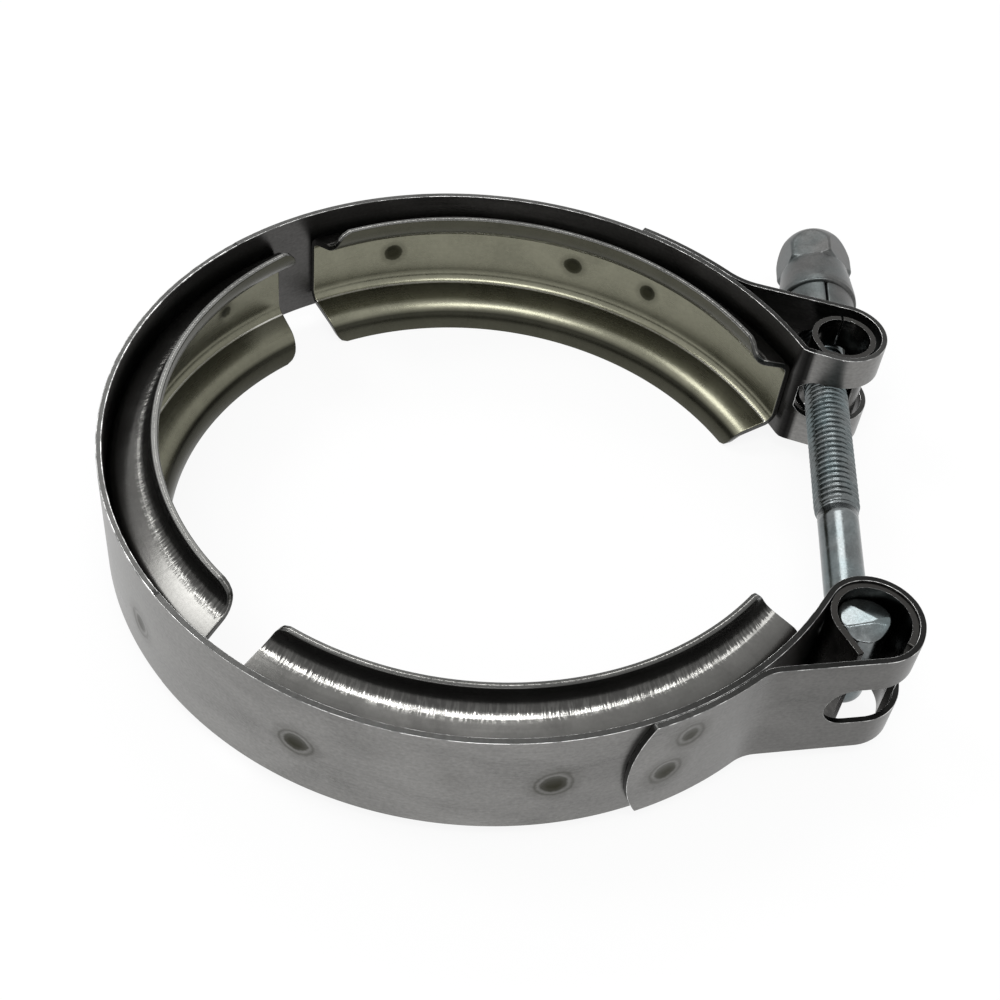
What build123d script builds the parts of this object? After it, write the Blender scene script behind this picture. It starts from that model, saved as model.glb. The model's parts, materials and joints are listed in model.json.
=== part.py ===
from build123d import *

import os
from math import acos, atan2, cos, degrees, radians, sin, sqrt, tan

os.makedirs("parts", exist_ok=True)

# A V-retainer band clamp drawn up by a T-bolt, open as it is supplied.
# Z is the ring axis, z = 0 is the middle plane of the V groove, and the T-bolt crosses the gap at +X.
# Lengths are millimetres, directions and turns are degrees counted anticlockwise from +X.

# Outer strip
strip_thickness = 1.0
strip_width = 22.2
strip_outer_radius = 64.0
strip_lift = 1.4  # the strip sits this much above the middle of the groove
fold_gap = 0.1  # air between the strip and its folded-back end
tab_round = 23.0  # radius of the D-shaped ends of the folded-back tabs

# Where the strip flexes: bare stretches between neighbouring retainers
near_notch = 236.6
far_notch = 131.5
notch_angle = 7.2
flex_cut = 0.1  # width of the cut that parts the strip at each flexing line
gap_half_angle = 30.5  # retainers end this far from +X on both sides of the bolt

# Retainer section
retainer_sheet = 1.2
groove_half_height = 6.9  # to the sharp corner of the sheet's middle line
flank_angle = 20.0
groove_depth = 9.0  # from the strip to the inner faces of the feet
foot_half_height = 13.6
root_bend = 2.6
foot_bend = 4.2
end_setback = 3.6  # how far the feet stop short of the retainer's root
setback_start = 7.4  # height at which an end starts to slope back

# Spot welds
weld_ball = 10.0  # radius of the electrode dome that leaves the dimple
weld_depth = 0.28
nugget_radius = 2.0
left_welds = [147, 171, 195, 219.5]
near_welds = [-109, -88, -73.9]
far_welds = [112.4, 95, 78.6]
near_tab_welds = [-55.7, -58.2]
far_tab_welds = [61.5, 63.5]
near_weld_heights = [5.9, -1.8]  # of the tab's welds, from the middle of the strip
far_weld_heights = [4.5, -4.5]

# Loop for the head of the T-bolt, at the end of the near arm
near_loop_azimuth = -25.08
near_loop_clearance = 0.07  # from the ring to the loop, measured between middle lines
near_loop_radius = 7.2  # middle of the strip, up to the top of the loop
near_loop_wide_radius = 7.8  # from the top round to the outer leg
near_loop_heading = -100.0
near_drop_length = 0.7  # straight stretch between the wide arc and the outer corner
near_corner_radius = 7.8
near_leg_heading = 195.0
near_blend_radius = 8.5
near_tab_end = -64.0

# Loop for the trunnion, at the end of the far arm
far_loop_azimuth = 30.3
far_loop_clearance = 1.85
far_loop_radius = 7.5
far_entry_heading = -12.0
far_corner_radius = 1.6
far_leg_heading = 170.3
far_blend_radius = 12.5
far_tab_end = 70.0

# Slots that let the bolt through both loops; each reach is from the bolt's axis to the slot's inner end
slot_half_height = 4.35
slot_depth = 30.0
near_slot_reach = 4.85
far_slot_reach = 5.9
saddle_slot_reach = 5.15

# Rolled saddle in the near loop and rolled trunnion in the far loop
roll_sheet = 1.0
roll_gap = 0.1
roll_recess = 0.4  # how far a roll stops below each edge of the strip
saddle_tail_heading = 122.0
saddle_tail_length = 5.5
saddle_drop_length = 0.7
saddle_end_turn = 22.0
trunnion_radius = 5.4  # middle of the sheet
trunnion_tail = 4.0  # how far the fold of the trunnion lies inside its centre
trunnion_tail_gap = 0.2
seam_width = 0.35

# T-bolt, metric M8 x 1.25 with a rolled thread
bolt_inset = 1.17  # how far the bolt crosses the far loop inside its centre
head_azimuth = 118.4  # where the head bears on the saddle
head_seat = 0.035
head_radius = 4.2
head_half_length = 9.6
head_edge = 1.4
thread_radius = 4.0
thread_pitch = 1.25
thread_depth = 0.68
shank_radius = 3.55
shank_length = 29.4
bolt_length = 101.5
point_chamfer = 1.0
bore_clearance = 0.06  # nut bore over the thread
sleeve_clearance = 0.25
trunnion_play = 1.9  # sideways play of the bolt in the trunnion
crest_flat = 1 / 8  # thread proportions, in pitches
root_flat = 1 / 4

# Spacer sleeve and crowned flange nut
sleeve_seat = 0.12  # air between the far loop and the sleeve
sleeve_length = 9.7
sleeve_radius = 7.1
nut_seat = 0.05
nut_length = 19.5
nut_across_flats = 13.0
nut_turn = 18.0  # how far the hexagon's top facet is turned towards the ring
nut_flange_radius = 7.6
nut_flange_rim = 1.6
nut_cone_length = 9.0
nut_cone_radius = 6.75
nut_crown_start = 12.0
nut_crown_radius = 4.7
nut_crown_arc = 8.5

strip_inner_radius = strip_outer_radius - strip_thickness
foot_inner_radius = strip_inner_radius - groove_depth
strip_mid_radius = strip_outer_radius - strip_thickness / 2
fold_mid_radius = strip_outer_radius + fold_gap + strip_thickness / 2
tab_outer_radius = strip_outer_radius + fold_gap + strip_thickness
roll_height = strip_width - 2 * roll_recess
half_strip = strip_thickness / 2
roll_inset = half_strip + roll_gap + roll_sheet / 2


def polar(radius, azimuth, height=0.0):
    """The point at this radius, azimuth and height."""
    return Vector(radius * cos(radians(azimuth)), radius * sin(radians(azimuth)), height)


near_loop = polar(strip_mid_radius + near_loop_radius + near_loop_clearance, near_loop_azimuth)
far_loop = polar(strip_mid_radius + far_loop_radius + far_loop_clearance, far_loop_azimuth)
saddle_radius = near_loop_radius - roll_inset
bolt_head = near_loop + polar(saddle_radius - roll_sheet / 2 - head_seat - head_radius, head_azimuth)
bolt_run = far_loop - Vector(bolt_inset, 0) - bolt_head
bolt_ahead = bolt_run.normalized()
bolt_aside = bolt_ahead.rotate(Axis.Z, -90)


def side_point(centre, radius, heading, turn):
    """Where a path that turns about centre (1 anticlockwise, -1 clockwise) has this heading."""
    return centre + polar(radius, heading - 90 * turn)


def arc_about(centre, start, end, turn):
    """The arc from start to end about centre, anticlockwise for turn 1 and clockwise for -1."""
    first = degrees(atan2(start.Y - centre.Y, start.X - centre.X))
    last = degrees(atan2(end.Y - centre.Y, end.X - centre.X))
    return CenterArc(centre, (start - centre).length, first, turn * ((last - first) * turn % 360))


def blend_centre(ring_radius, blend_radius, start, heading, side):
    """Centre of the arc outside a ring that rounds a straight approach into it.

    side is 1 when that centre lies left of the approach and -1 when it lies right.
    """
    ahead = polar(1, heading)
    base = start + polar(blend_radius, heading + 90 * side)
    along = base.dot(ahead)
    reach = along**2 - base.dot(base) + (ring_radius + blend_radius) ** 2
    return base - ahead * (along + sqrt(reach))


def ring_plane(azimuth, radius=0.0, height=0.0):
    """A plane that faces outwards, with its local x along the ring and its local y upwards."""
    return Plane(origin=polar(radius, azimuth, height), x_dir=polar(1, azimuth + 90), z_dir=polar(1, azimuth))


def radial_plane(azimuth):
    """The half plane at this azimuth, with local x as radius and local y as height."""
    return Plane(origin=(0, 0, 0), x_dir=polar(1, azimuth), z_dir=polar(1, azimuth - 90))


def press_dimples(radius, azimuths, heights):
    """Presses a shallow weld dimple into a surface of this radius at each azimuth and height."""
    centre = radius + weld_ball - weld_depth
    with Locations([polar(centre, azimuth, strip_lift + height)
                    for azimuth, height in zip(azimuths, heights)]):
        Sphere(weld_ball, mode=Mode.SUBTRACT)


def weld_tab(azimuths, heights):
    """Joins a folded-back tab to the strip under it with a nugget at each azimuth and height."""
    with Locations([ring_plane(azimuth, strip_mid_radius, strip_lift + height)
                    for azimuth, height in zip(azimuths, heights)]):
        Cylinder(nugget_radius, strip_thickness + fold_gap, align=(Align.CENTER, Align.CENTER, Align.MIN))


def tab_trim(azimuth, side):
    """What is cut off a tab to leave a D-shaped end; side is 1 if the tab lies at larger azimuths."""
    with BuildSketch(ring_plane(azimuth, strip_outer_radius + fold_gap / 10, strip_lift)) as trim:
        Rectangle(tab_round / 3, 2 * strip_width)
        with Locations((side * tab_round, 0)):
            Circle(tab_round, mode=Mode.SUBTRACT)
    return trim.sketch


def bolt_x(y):
    """Where the bolt's axis crosses this y."""
    return bolt_head.X + bolt_run.X * (y - bolt_head.Y) / bolt_run.Y


def bolt_slot(left, back):
    """A slot with a round end at x = left that is open past the loop's outer side."""
    with BuildSketch(Plane.XZ.offset(-back)) as slot:
        with Locations((left + slot_half_height, strip_lift)):
            Circle(slot_half_height)
            Rectangle(strip_width, 2 * slot_half_height, align=(Align.MIN, Align.CENTER))
    return slot.sketch


# ---------------------------------------------------------------- strip: left arc
left_start = far_notch + degrees(flex_cut / 2 / strip_mid_radius)
left_end = near_notch - degrees(flex_cut / 2 / strip_mid_radius)

with BuildPart() as band_left_arc:
    with BuildSketch(Plane.XY.offset(strip_lift)):
        with BuildLine():
            left_line = CenterArc((0, 0), strip_mid_radius, left_start, left_end - left_start)
        trace(left_line, strip_thickness)
    extrude(amount=strip_width / 2, both=True)
    press_dimples(strip_outer_radius, left_welds, [0] * len(left_welds))

# ---------------------------------------------------------------- strip: near arm and head loop
near_start = polar(strip_mid_radius, near_notch + degrees(flex_cut / 2 / strip_mid_radius))
cross_angle = degrees(acos((strip_mid_radius + near_loop_radius) / near_loop.length))
near_azimuth = degrees(atan2(near_loop.Y, near_loop.X))
near_leave = polar(strip_mid_radius, near_azimuth - cross_angle)
near_enter = near_loop - polar(near_loop_radius, near_azimuth - cross_angle)
near_top = near_loop + Vector(0, near_loop_radius)
near_wide_centre = near_top - Vector(0, near_loop_wide_radius)
near_side = side_point(near_wide_centre, near_loop_wide_radius, near_loop_heading, -1)
near_corner_start = near_side + polar(near_drop_length, near_loop_heading)
near_corner_centre = near_corner_start + polar(near_corner_radius, near_loop_heading - 90)
near_leg_start = side_point(near_corner_centre, near_corner_radius, near_leg_heading, -1)
near_blend = blend_centre(fold_mid_radius, near_blend_radius, near_leg_start, near_leg_heading, 1)
near_leg_end = near_blend - polar(near_blend_radius, near_leg_heading + 90)
near_fold_start = near_blend.normalized() * fold_mid_radius
near_fold_end = polar(fold_mid_radius, near_tab_end)

near_slot_left = bolt_x(near_top.Y) - near_slot_reach
near_slot = bolt_slot(near_slot_left, near_top.Y + strip_thickness)

with BuildPart() as band_near_arc:
    with BuildSketch(Plane.XY.offset(strip_lift)):
        with BuildLine() as near_path:
            arc_about(Vector(), near_start, near_leave, 1)
            Line(near_leave, near_enter)
            arc_about(near_loop, near_enter, near_top, -1)
            arc_about(near_wide_centre, near_top, near_side, -1)
            Line(near_side, near_corner_start)
            arc_about(near_corner_centre, near_corner_start, near_leg_start, -1)
            Line(near_leg_start, near_leg_end)
            arc_about(near_blend, near_leg_end, near_fold_start, 1)
            arc_about(Vector(), near_fold_start, near_fold_end, -1)
        trace(near_path.line, strip_thickness)
    extrude(amount=strip_width / 2, both=True)
    extrude(near_slot, amount=slot_depth, mode=Mode.SUBTRACT)
    weld_tab(near_tab_welds, near_weld_heights)
    extrude(tab_trim(near_tab_end, 1), amount=3 * strip_thickness, mode=Mode.SUBTRACT)
    press_dimples(strip_outer_radius, near_welds, [0] * len(near_welds))
    press_dimples(tab_outer_radius, near_tab_welds, near_weld_heights)

# ---------------------------------------------------------------- strip: far arm and trunnion loop
far_start = polar(strip_mid_radius, far_notch - degrees(flex_cut / 2 / strip_mid_radius))
far_entry = side_point(far_loop, far_loop_radius, far_entry_heading, 1)
far_corner = blend_centre(strip_mid_radius, far_corner_radius, far_entry, far_entry_heading + 180, -1)
far_leave = far_corner.normalized() * strip_mid_radius
far_corner_end = far_corner - polar(far_corner_radius, far_entry_heading + 90)
far_exit = side_point(far_loop, far_loop_radius, far_leg_heading, 1)
far_blend = blend_centre(fold_mid_radius, far_blend_radius, far_exit, far_leg_heading, -1)
far_leg_end = far_blend + polar(far_blend_radius, far_leg_heading + 90)
far_fold_start = far_blend.normalized() * fold_mid_radius
far_fold_end = polar(fold_mid_radius, far_tab_end)

far_slot = bolt_slot(bolt_x(far_exit.Y) - far_slot_reach, far_loop.Y + 1.5 * far_loop_radius)

with BuildPart() as band_far_arc:
    with BuildSketch(Plane.XY.offset(strip_lift)):
        with BuildLine() as far_path:
            arc_about(Vector(), far_start, far_leave, -1)
            arc_about(far_corner, far_leave, far_corner_end, 1)
            Line(far_corner_end, far_entry)
            arc_about(far_loop, far_entry, far_exit, 1)
            Line(far_exit, far_leg_end)
            arc_about(far_blend, far_leg_end, far_fold_start, -1)
            arc_about(Vector(), far_fold_start, far_fold_end, 1)
        trace(far_path.line, strip_thickness)
    extrude(amount=strip_width / 2, both=True)
    extrude(far_slot, amount=slot_depth, mode=Mode.SUBTRACT)
    weld_tab(far_tab_welds, far_weld_heights)
    extrude(tab_trim(far_tab_end, -1), amount=3 * strip_thickness, mode=Mode.SUBTRACT)
    press_dimples(strip_outer_radius, far_welds, [0] * len(far_welds))
    press_dimples(tab_outer_radius, far_tab_welds, far_weld_heights)

# ---------------------------------------------------------------- retainers
# Each is one rolled strip: root against the band, two flanks of the V, and two feet that turn outwards.
root_mid_radius = strip_inner_radius - retainer_sheet / 2
foot_mid_radius = foot_inner_radius + retainer_sheet / 2
flank_foot_height = groove_half_height + (root_mid_radius - foot_mid_radius) * tan(radians(flank_angle))
section_points = [
    (foot_mid_radius, -foot_half_height),
    (foot_mid_radius, -flank_foot_height),
    (root_mid_radius, -groove_half_height),
    (root_mid_radius, groove_half_height),
    (foot_mid_radius, flank_foot_height),
    (foot_mid_radius, foot_half_height),
]
section_bends = [foot_bend, root_bend, root_bend, foot_bend]
trim_reach = strip_outer_radius - foot_inner_radius


def foot_trim(azimuth, side):
    """What is cut off the feet at one end of a retainer; side is 1 at its anticlockwise end."""
    knee = (-side * end_setback / 3, 0.6 * foot_half_height + 0.4 * setback_start)
    tip = (-side * end_setback, foot_half_height + retainer_sheet / 8)
    past = side * retainer_sheet
    with BuildSketch(ring_plane(azimuth, foot_inner_radius - retainer_sheet)) as trim:
        with BuildLine():
            slope = Line((0, setback_start), knee)
            TangentArc(knee, tip, tangent=slope % 1)
            Polyline(tip, (past, tip[1]), (past, setback_start), (0, setback_start))
        make_face()
        mirror(about=Plane.XZ)
    return trim.sketch


retainer_spans = {
    "retainer_near": (near_notch + notch_angle / 2, 360 - gap_half_angle),
    "retainer_left": (far_notch + notch_angle / 2, near_notch - notch_angle / 2),
    "retainer_far": (gap_half_angle, far_notch - notch_angle / 2),
}
for name, (start, end) in retainer_spans.items():
    with BuildPart() as retainer:
        with BuildSketch(radial_plane(start)):
            with BuildLine() as section:
                FilletPolyline(*section_points, radius=section_bends)
            trace(section.line, retainer_sheet)
        revolve(axis=Axis.Z, revolution_arc=end - start)
        extrude(foot_trim(start, -1), amount=trim_reach, mode=Mode.SUBTRACT)
        extrude(foot_trim(end, 1), amount=trim_reach, mode=Mode.SUBTRACT)
    retainer.part.label = name
    export_step(retainer.part, f"parts/{name}.step")

# ---------------------------------------------------------------- rolled saddle in the near loop
saddle_wide_radius = near_loop_wide_radius - roll_inset
saddle_corner_radius = near_corner_radius - roll_inset
saddle_tail_top = side_point(near_loop, saddle_radius, saddle_tail_heading, -1)
saddle_tail_end = saddle_tail_top - polar(saddle_tail_length, saddle_tail_heading)
saddle_top = near_loop + Vector(0, saddle_radius)
saddle_side = side_point(near_wide_centre, saddle_wide_radius, near_loop_heading, -1)
saddle_drop_end = saddle_side + polar(saddle_drop_length, near_loop_heading)
saddle_corner = saddle_drop_end + polar(saddle_corner_radius, near_loop_heading - 90)
saddle_slot_right = bolt_x(near_top.Y) + saddle_slot_reach
saddle_end = side_point(saddle_corner, saddle_corner_radius, near_loop_heading - saddle_end_turn, -1)

with BuildPart() as loop_saddle:
    with BuildSketch(Plane.XY.offset(strip_lift)):
        with BuildLine() as saddle_path:
            Line(saddle_tail_end, saddle_tail_top)
            arc_about(near_loop, saddle_tail_top, saddle_top, -1)
            arc_about(near_wide_centre, saddle_top, saddle_side, -1)
            Line(saddle_side, saddle_drop_end)
            arc_about(saddle_corner, saddle_drop_end, saddle_end, -1)
        trace(saddle_path.line, roll_sheet)
    extrude(amount=roll_height / 2, both=True)
    with BuildSketch(Plane.XZ.offset(-near_top.Y)):
        with Locations(((near_slot_left + saddle_slot_right) / 2, strip_lift)):
            SlotOverall(saddle_slot_right - near_slot_left, 2 * slot_half_height)
    extrude(amount=near_loop_radius, mode=Mode.SUBTRACT)

# ---------------------------------------------------------------- T-bolt
head_middle = bolt_head + Vector(0, 0, strip_lift)
bolt_axis = Axis(head_middle, bolt_ahead)
bolt_plane = Plane(origin=head_middle, x_dir=bolt_ahead, z_dir=(0, 0, 1))


def across_bolt(distance):
    """A plane square to the bolt at this distance from its head, with local x level."""
    return Plane(origin=head_middle + bolt_ahead * distance, x_dir=bolt_aside, z_dir=bolt_ahead)


thread_root = thread_radius - thread_depth
thread_turns = int((bolt_length - point_chamfer - shank_length) / thread_pitch)
thread_points = []
for turn in range(thread_turns):
    groove = shank_length + turn * thread_pitch
    thread_points += [
        (groove + thread_pitch * crest_flat / 2, thread_radius),
        (groove + thread_pitch * (1 - root_flat) / 2, thread_root),
        (groove + thread_pitch * (1 + root_flat) / 2, thread_root),
        (groove + thread_pitch * (1 - crest_flat / 2), thread_radius),
    ]

with BuildPart() as t_bolt:
    with BuildSketch(Plane.XY.offset(strip_lift - head_half_length)):
        with Locations(bolt_head):
            Circle(head_radius)
    extrude(amount=2 * head_half_length)
    fillet(t_bolt.edges().filter_by(GeomType.CIRCLE), head_edge)
    with BuildSketch(bolt_plane):
        with BuildLine():
            Polyline(
                (0, 0),
                (0, shank_radius),
                (shank_length, shank_radius),
                *thread_points,
                (bolt_length - point_chamfer, thread_radius),
                (bolt_length, thread_radius - point_chamfer),
                (bolt_length, 0),
                close=True,
            )
        make_face()
    revolve(axis=bolt_axis)

# ---------------------------------------------------------------- rolled trunnion in the far loop
trunnion = far_loop - Vector(0, far_loop_radius - roll_inset - roll_gap - trunnion_radius)
tail_floor = far_entry - polar(far_entry.X - far_loop.X + trunnion_tail, far_entry_heading)
trunnion_tail = tail_floor + polar(roll_inset + trunnion_tail_gap, far_entry_heading + 90)
tail_reach = trunnion_tail - trunnion
tail_azimuth = degrees(atan2(tail_reach.Y, tail_reach.X))
tail_spread = degrees(acos(trunnion_radius / tail_reach.length))
trunnion_front = trunnion + polar(trunnion_radius, tail_azimuth + tail_spread)
trunnion_rear = trunnion + polar(trunnion_radius, tail_azimuth - tail_spread)

with BuildPart() as far_trunnion:
    with BuildSketch(Plane.XY.offset(strip_lift)):
        with BuildLine() as trunnion_path:
            Line(trunnion_tail, trunnion_front)
            arc_about(trunnion, trunnion_front, trunnion_rear, 1)
            Line(trunnion_rear, trunnion_tail)
        trace(trunnion_path.line, roll_sheet)
    extrude(amount=roll_height / 2, both=True)
    with BuildSketch(Plane.XZ.offset(-trunnion.Y - far_loop_radius)):
        with Locations((bolt_x(trunnion.Y), strip_lift)):
            SlotOverall(2 * (thread_radius + trunnion_play), 2 * slot_half_height)
    extrude(amount=2 * far_loop_radius, mode=Mode.SUBTRACT)
    with BuildSketch(Plane.XY.offset(strip_lift)):
        with Locations(trunnion + Vector(0, trunnion_radius)):
            Rectangle(seam_width, 3 * roll_sheet)
    extrude(amount=strip_width / 2, both=True, mode=Mode.SUBTRACT)

# ---------------------------------------------------------------- spacer sleeve
# It bears on the outer leg of the far loop with the inner edge of its face.
leg_outside = polar(1, far_leg_heading - 90)
sleeve_edge = bolt_head - bolt_aside * sleeve_radius
sleeve_gap = (far_exit - sleeve_edge).dot(leg_outside) + half_strip + sleeve_seat
sleeve_start = sleeve_gap / bolt_ahead.dot(leg_outside)

with BuildPart() as spacer_sleeve:
    with BuildSketch(across_bolt(sleeve_start)):
        Circle(sleeve_radius)
        Circle(thread_radius + sleeve_clearance, mode=Mode.SUBTRACT)
        with Locations((seam_width, sleeve_radius)):
            Rectangle(seam_width, 2 * (sleeve_radius - thread_radius), mode=Mode.SUBTRACT)
    extrude(amount=sleeve_length)

# ---------------------------------------------------------------- crowned flange nut
nut_start = sleeve_start + sleeve_length + nut_seat
nut_corner_radius = nut_across_flats / 2 / cos(radians(30))
nut_plane = across_bolt(nut_start)
nut_section = Plane(origin=nut_plane.origin, x_dir=bolt_ahead, z_dir=(0, 0, 1))

with BuildPart() as lock_nut:
    with BuildSketch(nut_plane):
        RegularPolygon(nut_across_flats / 2, 6, major_radius=False, rotation=-nut_turn)
    extrude(amount=nut_length)
    with BuildSketch(nut_section):
        with BuildLine():
            Polyline((nut_length, nut_crown_radius), (nut_length, 0), (0, 0), (0, nut_corner_radius),
                     (nut_crown_start, nut_corner_radius))
            RadiusArc((nut_crown_start, nut_corner_radius), (nut_length, nut_crown_radius), nut_crown_arc)
        make_face()
    revolve(axis=bolt_axis, mode=Mode.INTERSECT)
    with BuildSketch(nut_section):
        with BuildLine():
            Polyline(
                (0, 0),
                (0, nut_flange_radius),
                (nut_flange_rim, nut_flange_radius),
                (nut_cone_length, nut_cone_radius),
                (nut_cone_length, 0),
                close=True,
            )
        make_face()
    revolve(axis=bolt_axis)
    with BuildSketch(nut_plane):
        Circle(thread_radius + bore_clearance)
    extrude(amount=nut_length, mode=Mode.SUBTRACT)

for name, piece in {
    "band_left_arc": band_left_arc,
    "band_near_arc": band_near_arc,
    "band_far_arc": band_far_arc,
    "loop_saddle": loop_saddle,
    "t_bolt": t_bolt,
    "far_trunnion": far_trunnion,
    "spacer_sleeve": spacer_sleeve,
    "lock_nut": lock_nut,
}.items():
    piece.part.label = name
    export_step(piece.part, f"parts/{name}.step")
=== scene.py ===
"""An open V-retainer band clamp with its T-bolt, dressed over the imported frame, and a plain studio."""

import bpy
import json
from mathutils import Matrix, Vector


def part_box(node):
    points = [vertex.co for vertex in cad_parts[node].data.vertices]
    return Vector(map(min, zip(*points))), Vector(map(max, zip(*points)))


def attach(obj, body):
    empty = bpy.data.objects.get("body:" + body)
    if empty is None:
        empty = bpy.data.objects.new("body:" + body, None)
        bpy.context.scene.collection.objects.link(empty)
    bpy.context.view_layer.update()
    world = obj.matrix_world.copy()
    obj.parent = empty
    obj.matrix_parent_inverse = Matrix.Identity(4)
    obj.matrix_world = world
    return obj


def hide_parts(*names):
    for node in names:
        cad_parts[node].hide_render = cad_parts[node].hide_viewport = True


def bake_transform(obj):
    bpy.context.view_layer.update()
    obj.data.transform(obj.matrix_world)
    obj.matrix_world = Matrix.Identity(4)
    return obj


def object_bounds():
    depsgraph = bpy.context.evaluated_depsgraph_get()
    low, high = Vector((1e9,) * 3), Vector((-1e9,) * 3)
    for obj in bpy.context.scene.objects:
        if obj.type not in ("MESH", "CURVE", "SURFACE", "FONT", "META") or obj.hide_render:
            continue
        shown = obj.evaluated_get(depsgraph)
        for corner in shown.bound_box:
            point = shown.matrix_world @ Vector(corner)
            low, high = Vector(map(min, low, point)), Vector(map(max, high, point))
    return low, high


bl_info = {
    "name": "V-band clamp",
    "version": (1, 0, 0),
    "blender": (4, 5, 0),
    "location": "View3D > Sidebar > Clamp",
    "description": "Builds an open V-retainer band clamp with a T-bolt, and a plain studio for it",
    "category": "Add Mesh",
}

import json
from math import acos, atan2, cos, degrees, hypot, pi, radians, sin, sqrt, tan

import bpy
import numpy as np
from bpy.props import FloatProperty, FloatVectorProperty, IntProperty, PointerProperty
from bpy.types import Operator, Panel, PropertyGroup
from mathutils import Matrix, Vector

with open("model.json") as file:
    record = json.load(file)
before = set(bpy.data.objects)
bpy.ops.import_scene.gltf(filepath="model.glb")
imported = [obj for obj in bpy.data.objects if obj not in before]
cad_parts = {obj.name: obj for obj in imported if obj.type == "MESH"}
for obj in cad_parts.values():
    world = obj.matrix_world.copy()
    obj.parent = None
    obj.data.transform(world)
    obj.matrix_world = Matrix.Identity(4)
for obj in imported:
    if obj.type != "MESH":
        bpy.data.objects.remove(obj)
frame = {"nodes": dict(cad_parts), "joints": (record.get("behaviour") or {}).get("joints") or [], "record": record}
CAD_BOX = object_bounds()
MM = 0.001


# ------------------------------------------------------------------ what the frame says
def joint(name):
    return next(j for j in frame["joints"] if j["name"] == name)


def mount(name):
    return next(m for m in frame["record"]["mounts"] if m["name"] == name)


def azimuth_of(point):
    return degrees(atan2(point[1], point[0])) % 360


def reach_along(node, origin, direction):
    """The lowest and highest distance of a node's points from origin along direction."""
    along = [(v.co - origin).dot(direction) for v in frame["nodes"][node].data.vertices]
    return min(along), max(along)


STRAP_LOW, STRAP_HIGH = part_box("band_left_arc")
RETAINER_LOW, RETAINER_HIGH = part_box("retainer_left")
NEAR_HINGE = azimuth_of(joint("near_arm_flex")["pos_m"])
FAR_HINGE = azimuth_of(joint("far_arm_flex")["pos_m"])
BOLT_HEAD = Vector(joint("t_bolt_swivel")["pos_m"])
BOLT_AHEAD = -Vector(joint("nut_travel")["axis"])
BOLT_ASIDE = BOLT_AHEAD.cross(Vector((0, 0, 1)))
BOLT_END = reach_along("t_bolt", BOLT_HEAD, BOLT_AHEAD)[1]
# Local x is level, y points down and z points along the bolt.
BOLT_AXES = Matrix((BOLT_ASIDE, (0, 0, -1), BOLT_AHEAD)).transposed().to_4x4()
BOLT_FRAME = Matrix.Translation(BOLT_HEAD) @ BOLT_AXES
SLEEVE_START, SLEEVE_END = reach_along("spacer_sleeve", BOLT_HEAD, BOLT_AHEAD)
NUT_START, NUT_END = reach_along("lock_nut", BOLT_HEAD, BOLT_AHEAD)


# ------------------------------------------------------------------ sizes and colours
def length(name, description, default, lowest=0.0):
    return FloatProperty(
        name=name, description=description, default=default, min=lowest, unit="LENGTH", precision=5
    )


def angle(name, description, default):
    return FloatProperty(name=name, description=description + ", in degrees", default=default)


def colour(name, description, default):
    return FloatVectorProperty(
        name=name, description=description, default=default, size=3, subtype="COLOR", min=0.0, max=1.0
    )


class StrapSettings(PropertyGroup):
    thickness: length("Thickness", "Thickness of the strap", 1.0 * MM)
    outer_radius: length("Outer radius", "Radius of the strap's outer face", -STRAP_LOW.x)
    low: length("Lower edge", "Height of the strap's lower edge", STRAP_LOW.z, lowest=-1.0)
    high: length("Upper edge", "Height of the strap's upper edge", STRAP_HIGH.z)
    fold_gap: length("Fold gap", "Air between the strap and its folded-back end", 0.1 * MM)
    tab_round: length("Tab round", "Radius of the D-shaped ends", 23.0 * MM)
    slot_half: length("Slot half height", "Half the height of the slots for the bolt", 4.35 * MM)
    near_slot_reach: length("Near slot reach", "From the bolt's axis to the near slot's end", 4.85 * MM)
    far_slot_reach: length("Far slot reach", "From the bolt's axis to the far slot's end", 5.9 * MM)
    edge: length("Edge round", "Rounding of the sheared edges", 0.16 * MM)
    grain: length("Grain", "Spacing of the mesh along the strap", 0.75 * MM)
    flex_half: length("Flex length", "Half the length of strap that bends at a bare stretch", 3.4 * MM)
    weld_depth: length("Weld depth", "Depth of the dimple that a spot weld leaves", 0.24 * MM)
    weld_radius: length("Weld radius", "Radius of that dimple", 2.5 * MM)
    steel: colour("Steel", "Colour of the satin strap", (0.215, 0.212, 0.205))
    # Painted shade: the loops are coloured darker than the plain ring because they lie in shade.
    bent: colour("Bent steel", "Colour of the strap where it is bent into loops", (0.125, 0.123, 0.119))
    # Painted shade: the inner face is coloured dark for the shade and dark reflections it has.
    inside: colour("Inside", "Colour of the strap's inner face", (0.08, 0.078, 0.076))
    rim: colour("Rims", "Colour of the sheared rims", (0.06, 0.06, 0.058))
    # Painted highlight: the rounded edges are coloured bright, with patches like rubbed wear, to show the thin
    # lines of light along them.
    edge_highlight: colour("Worn edges", "Colour of the rubbed edges beside the rims", (0.7, 0.7, 0.69))
    stain: colour("Weld stain", "Colour that the heat of a weld leaves", (0.02, 0.019, 0.01))


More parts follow.
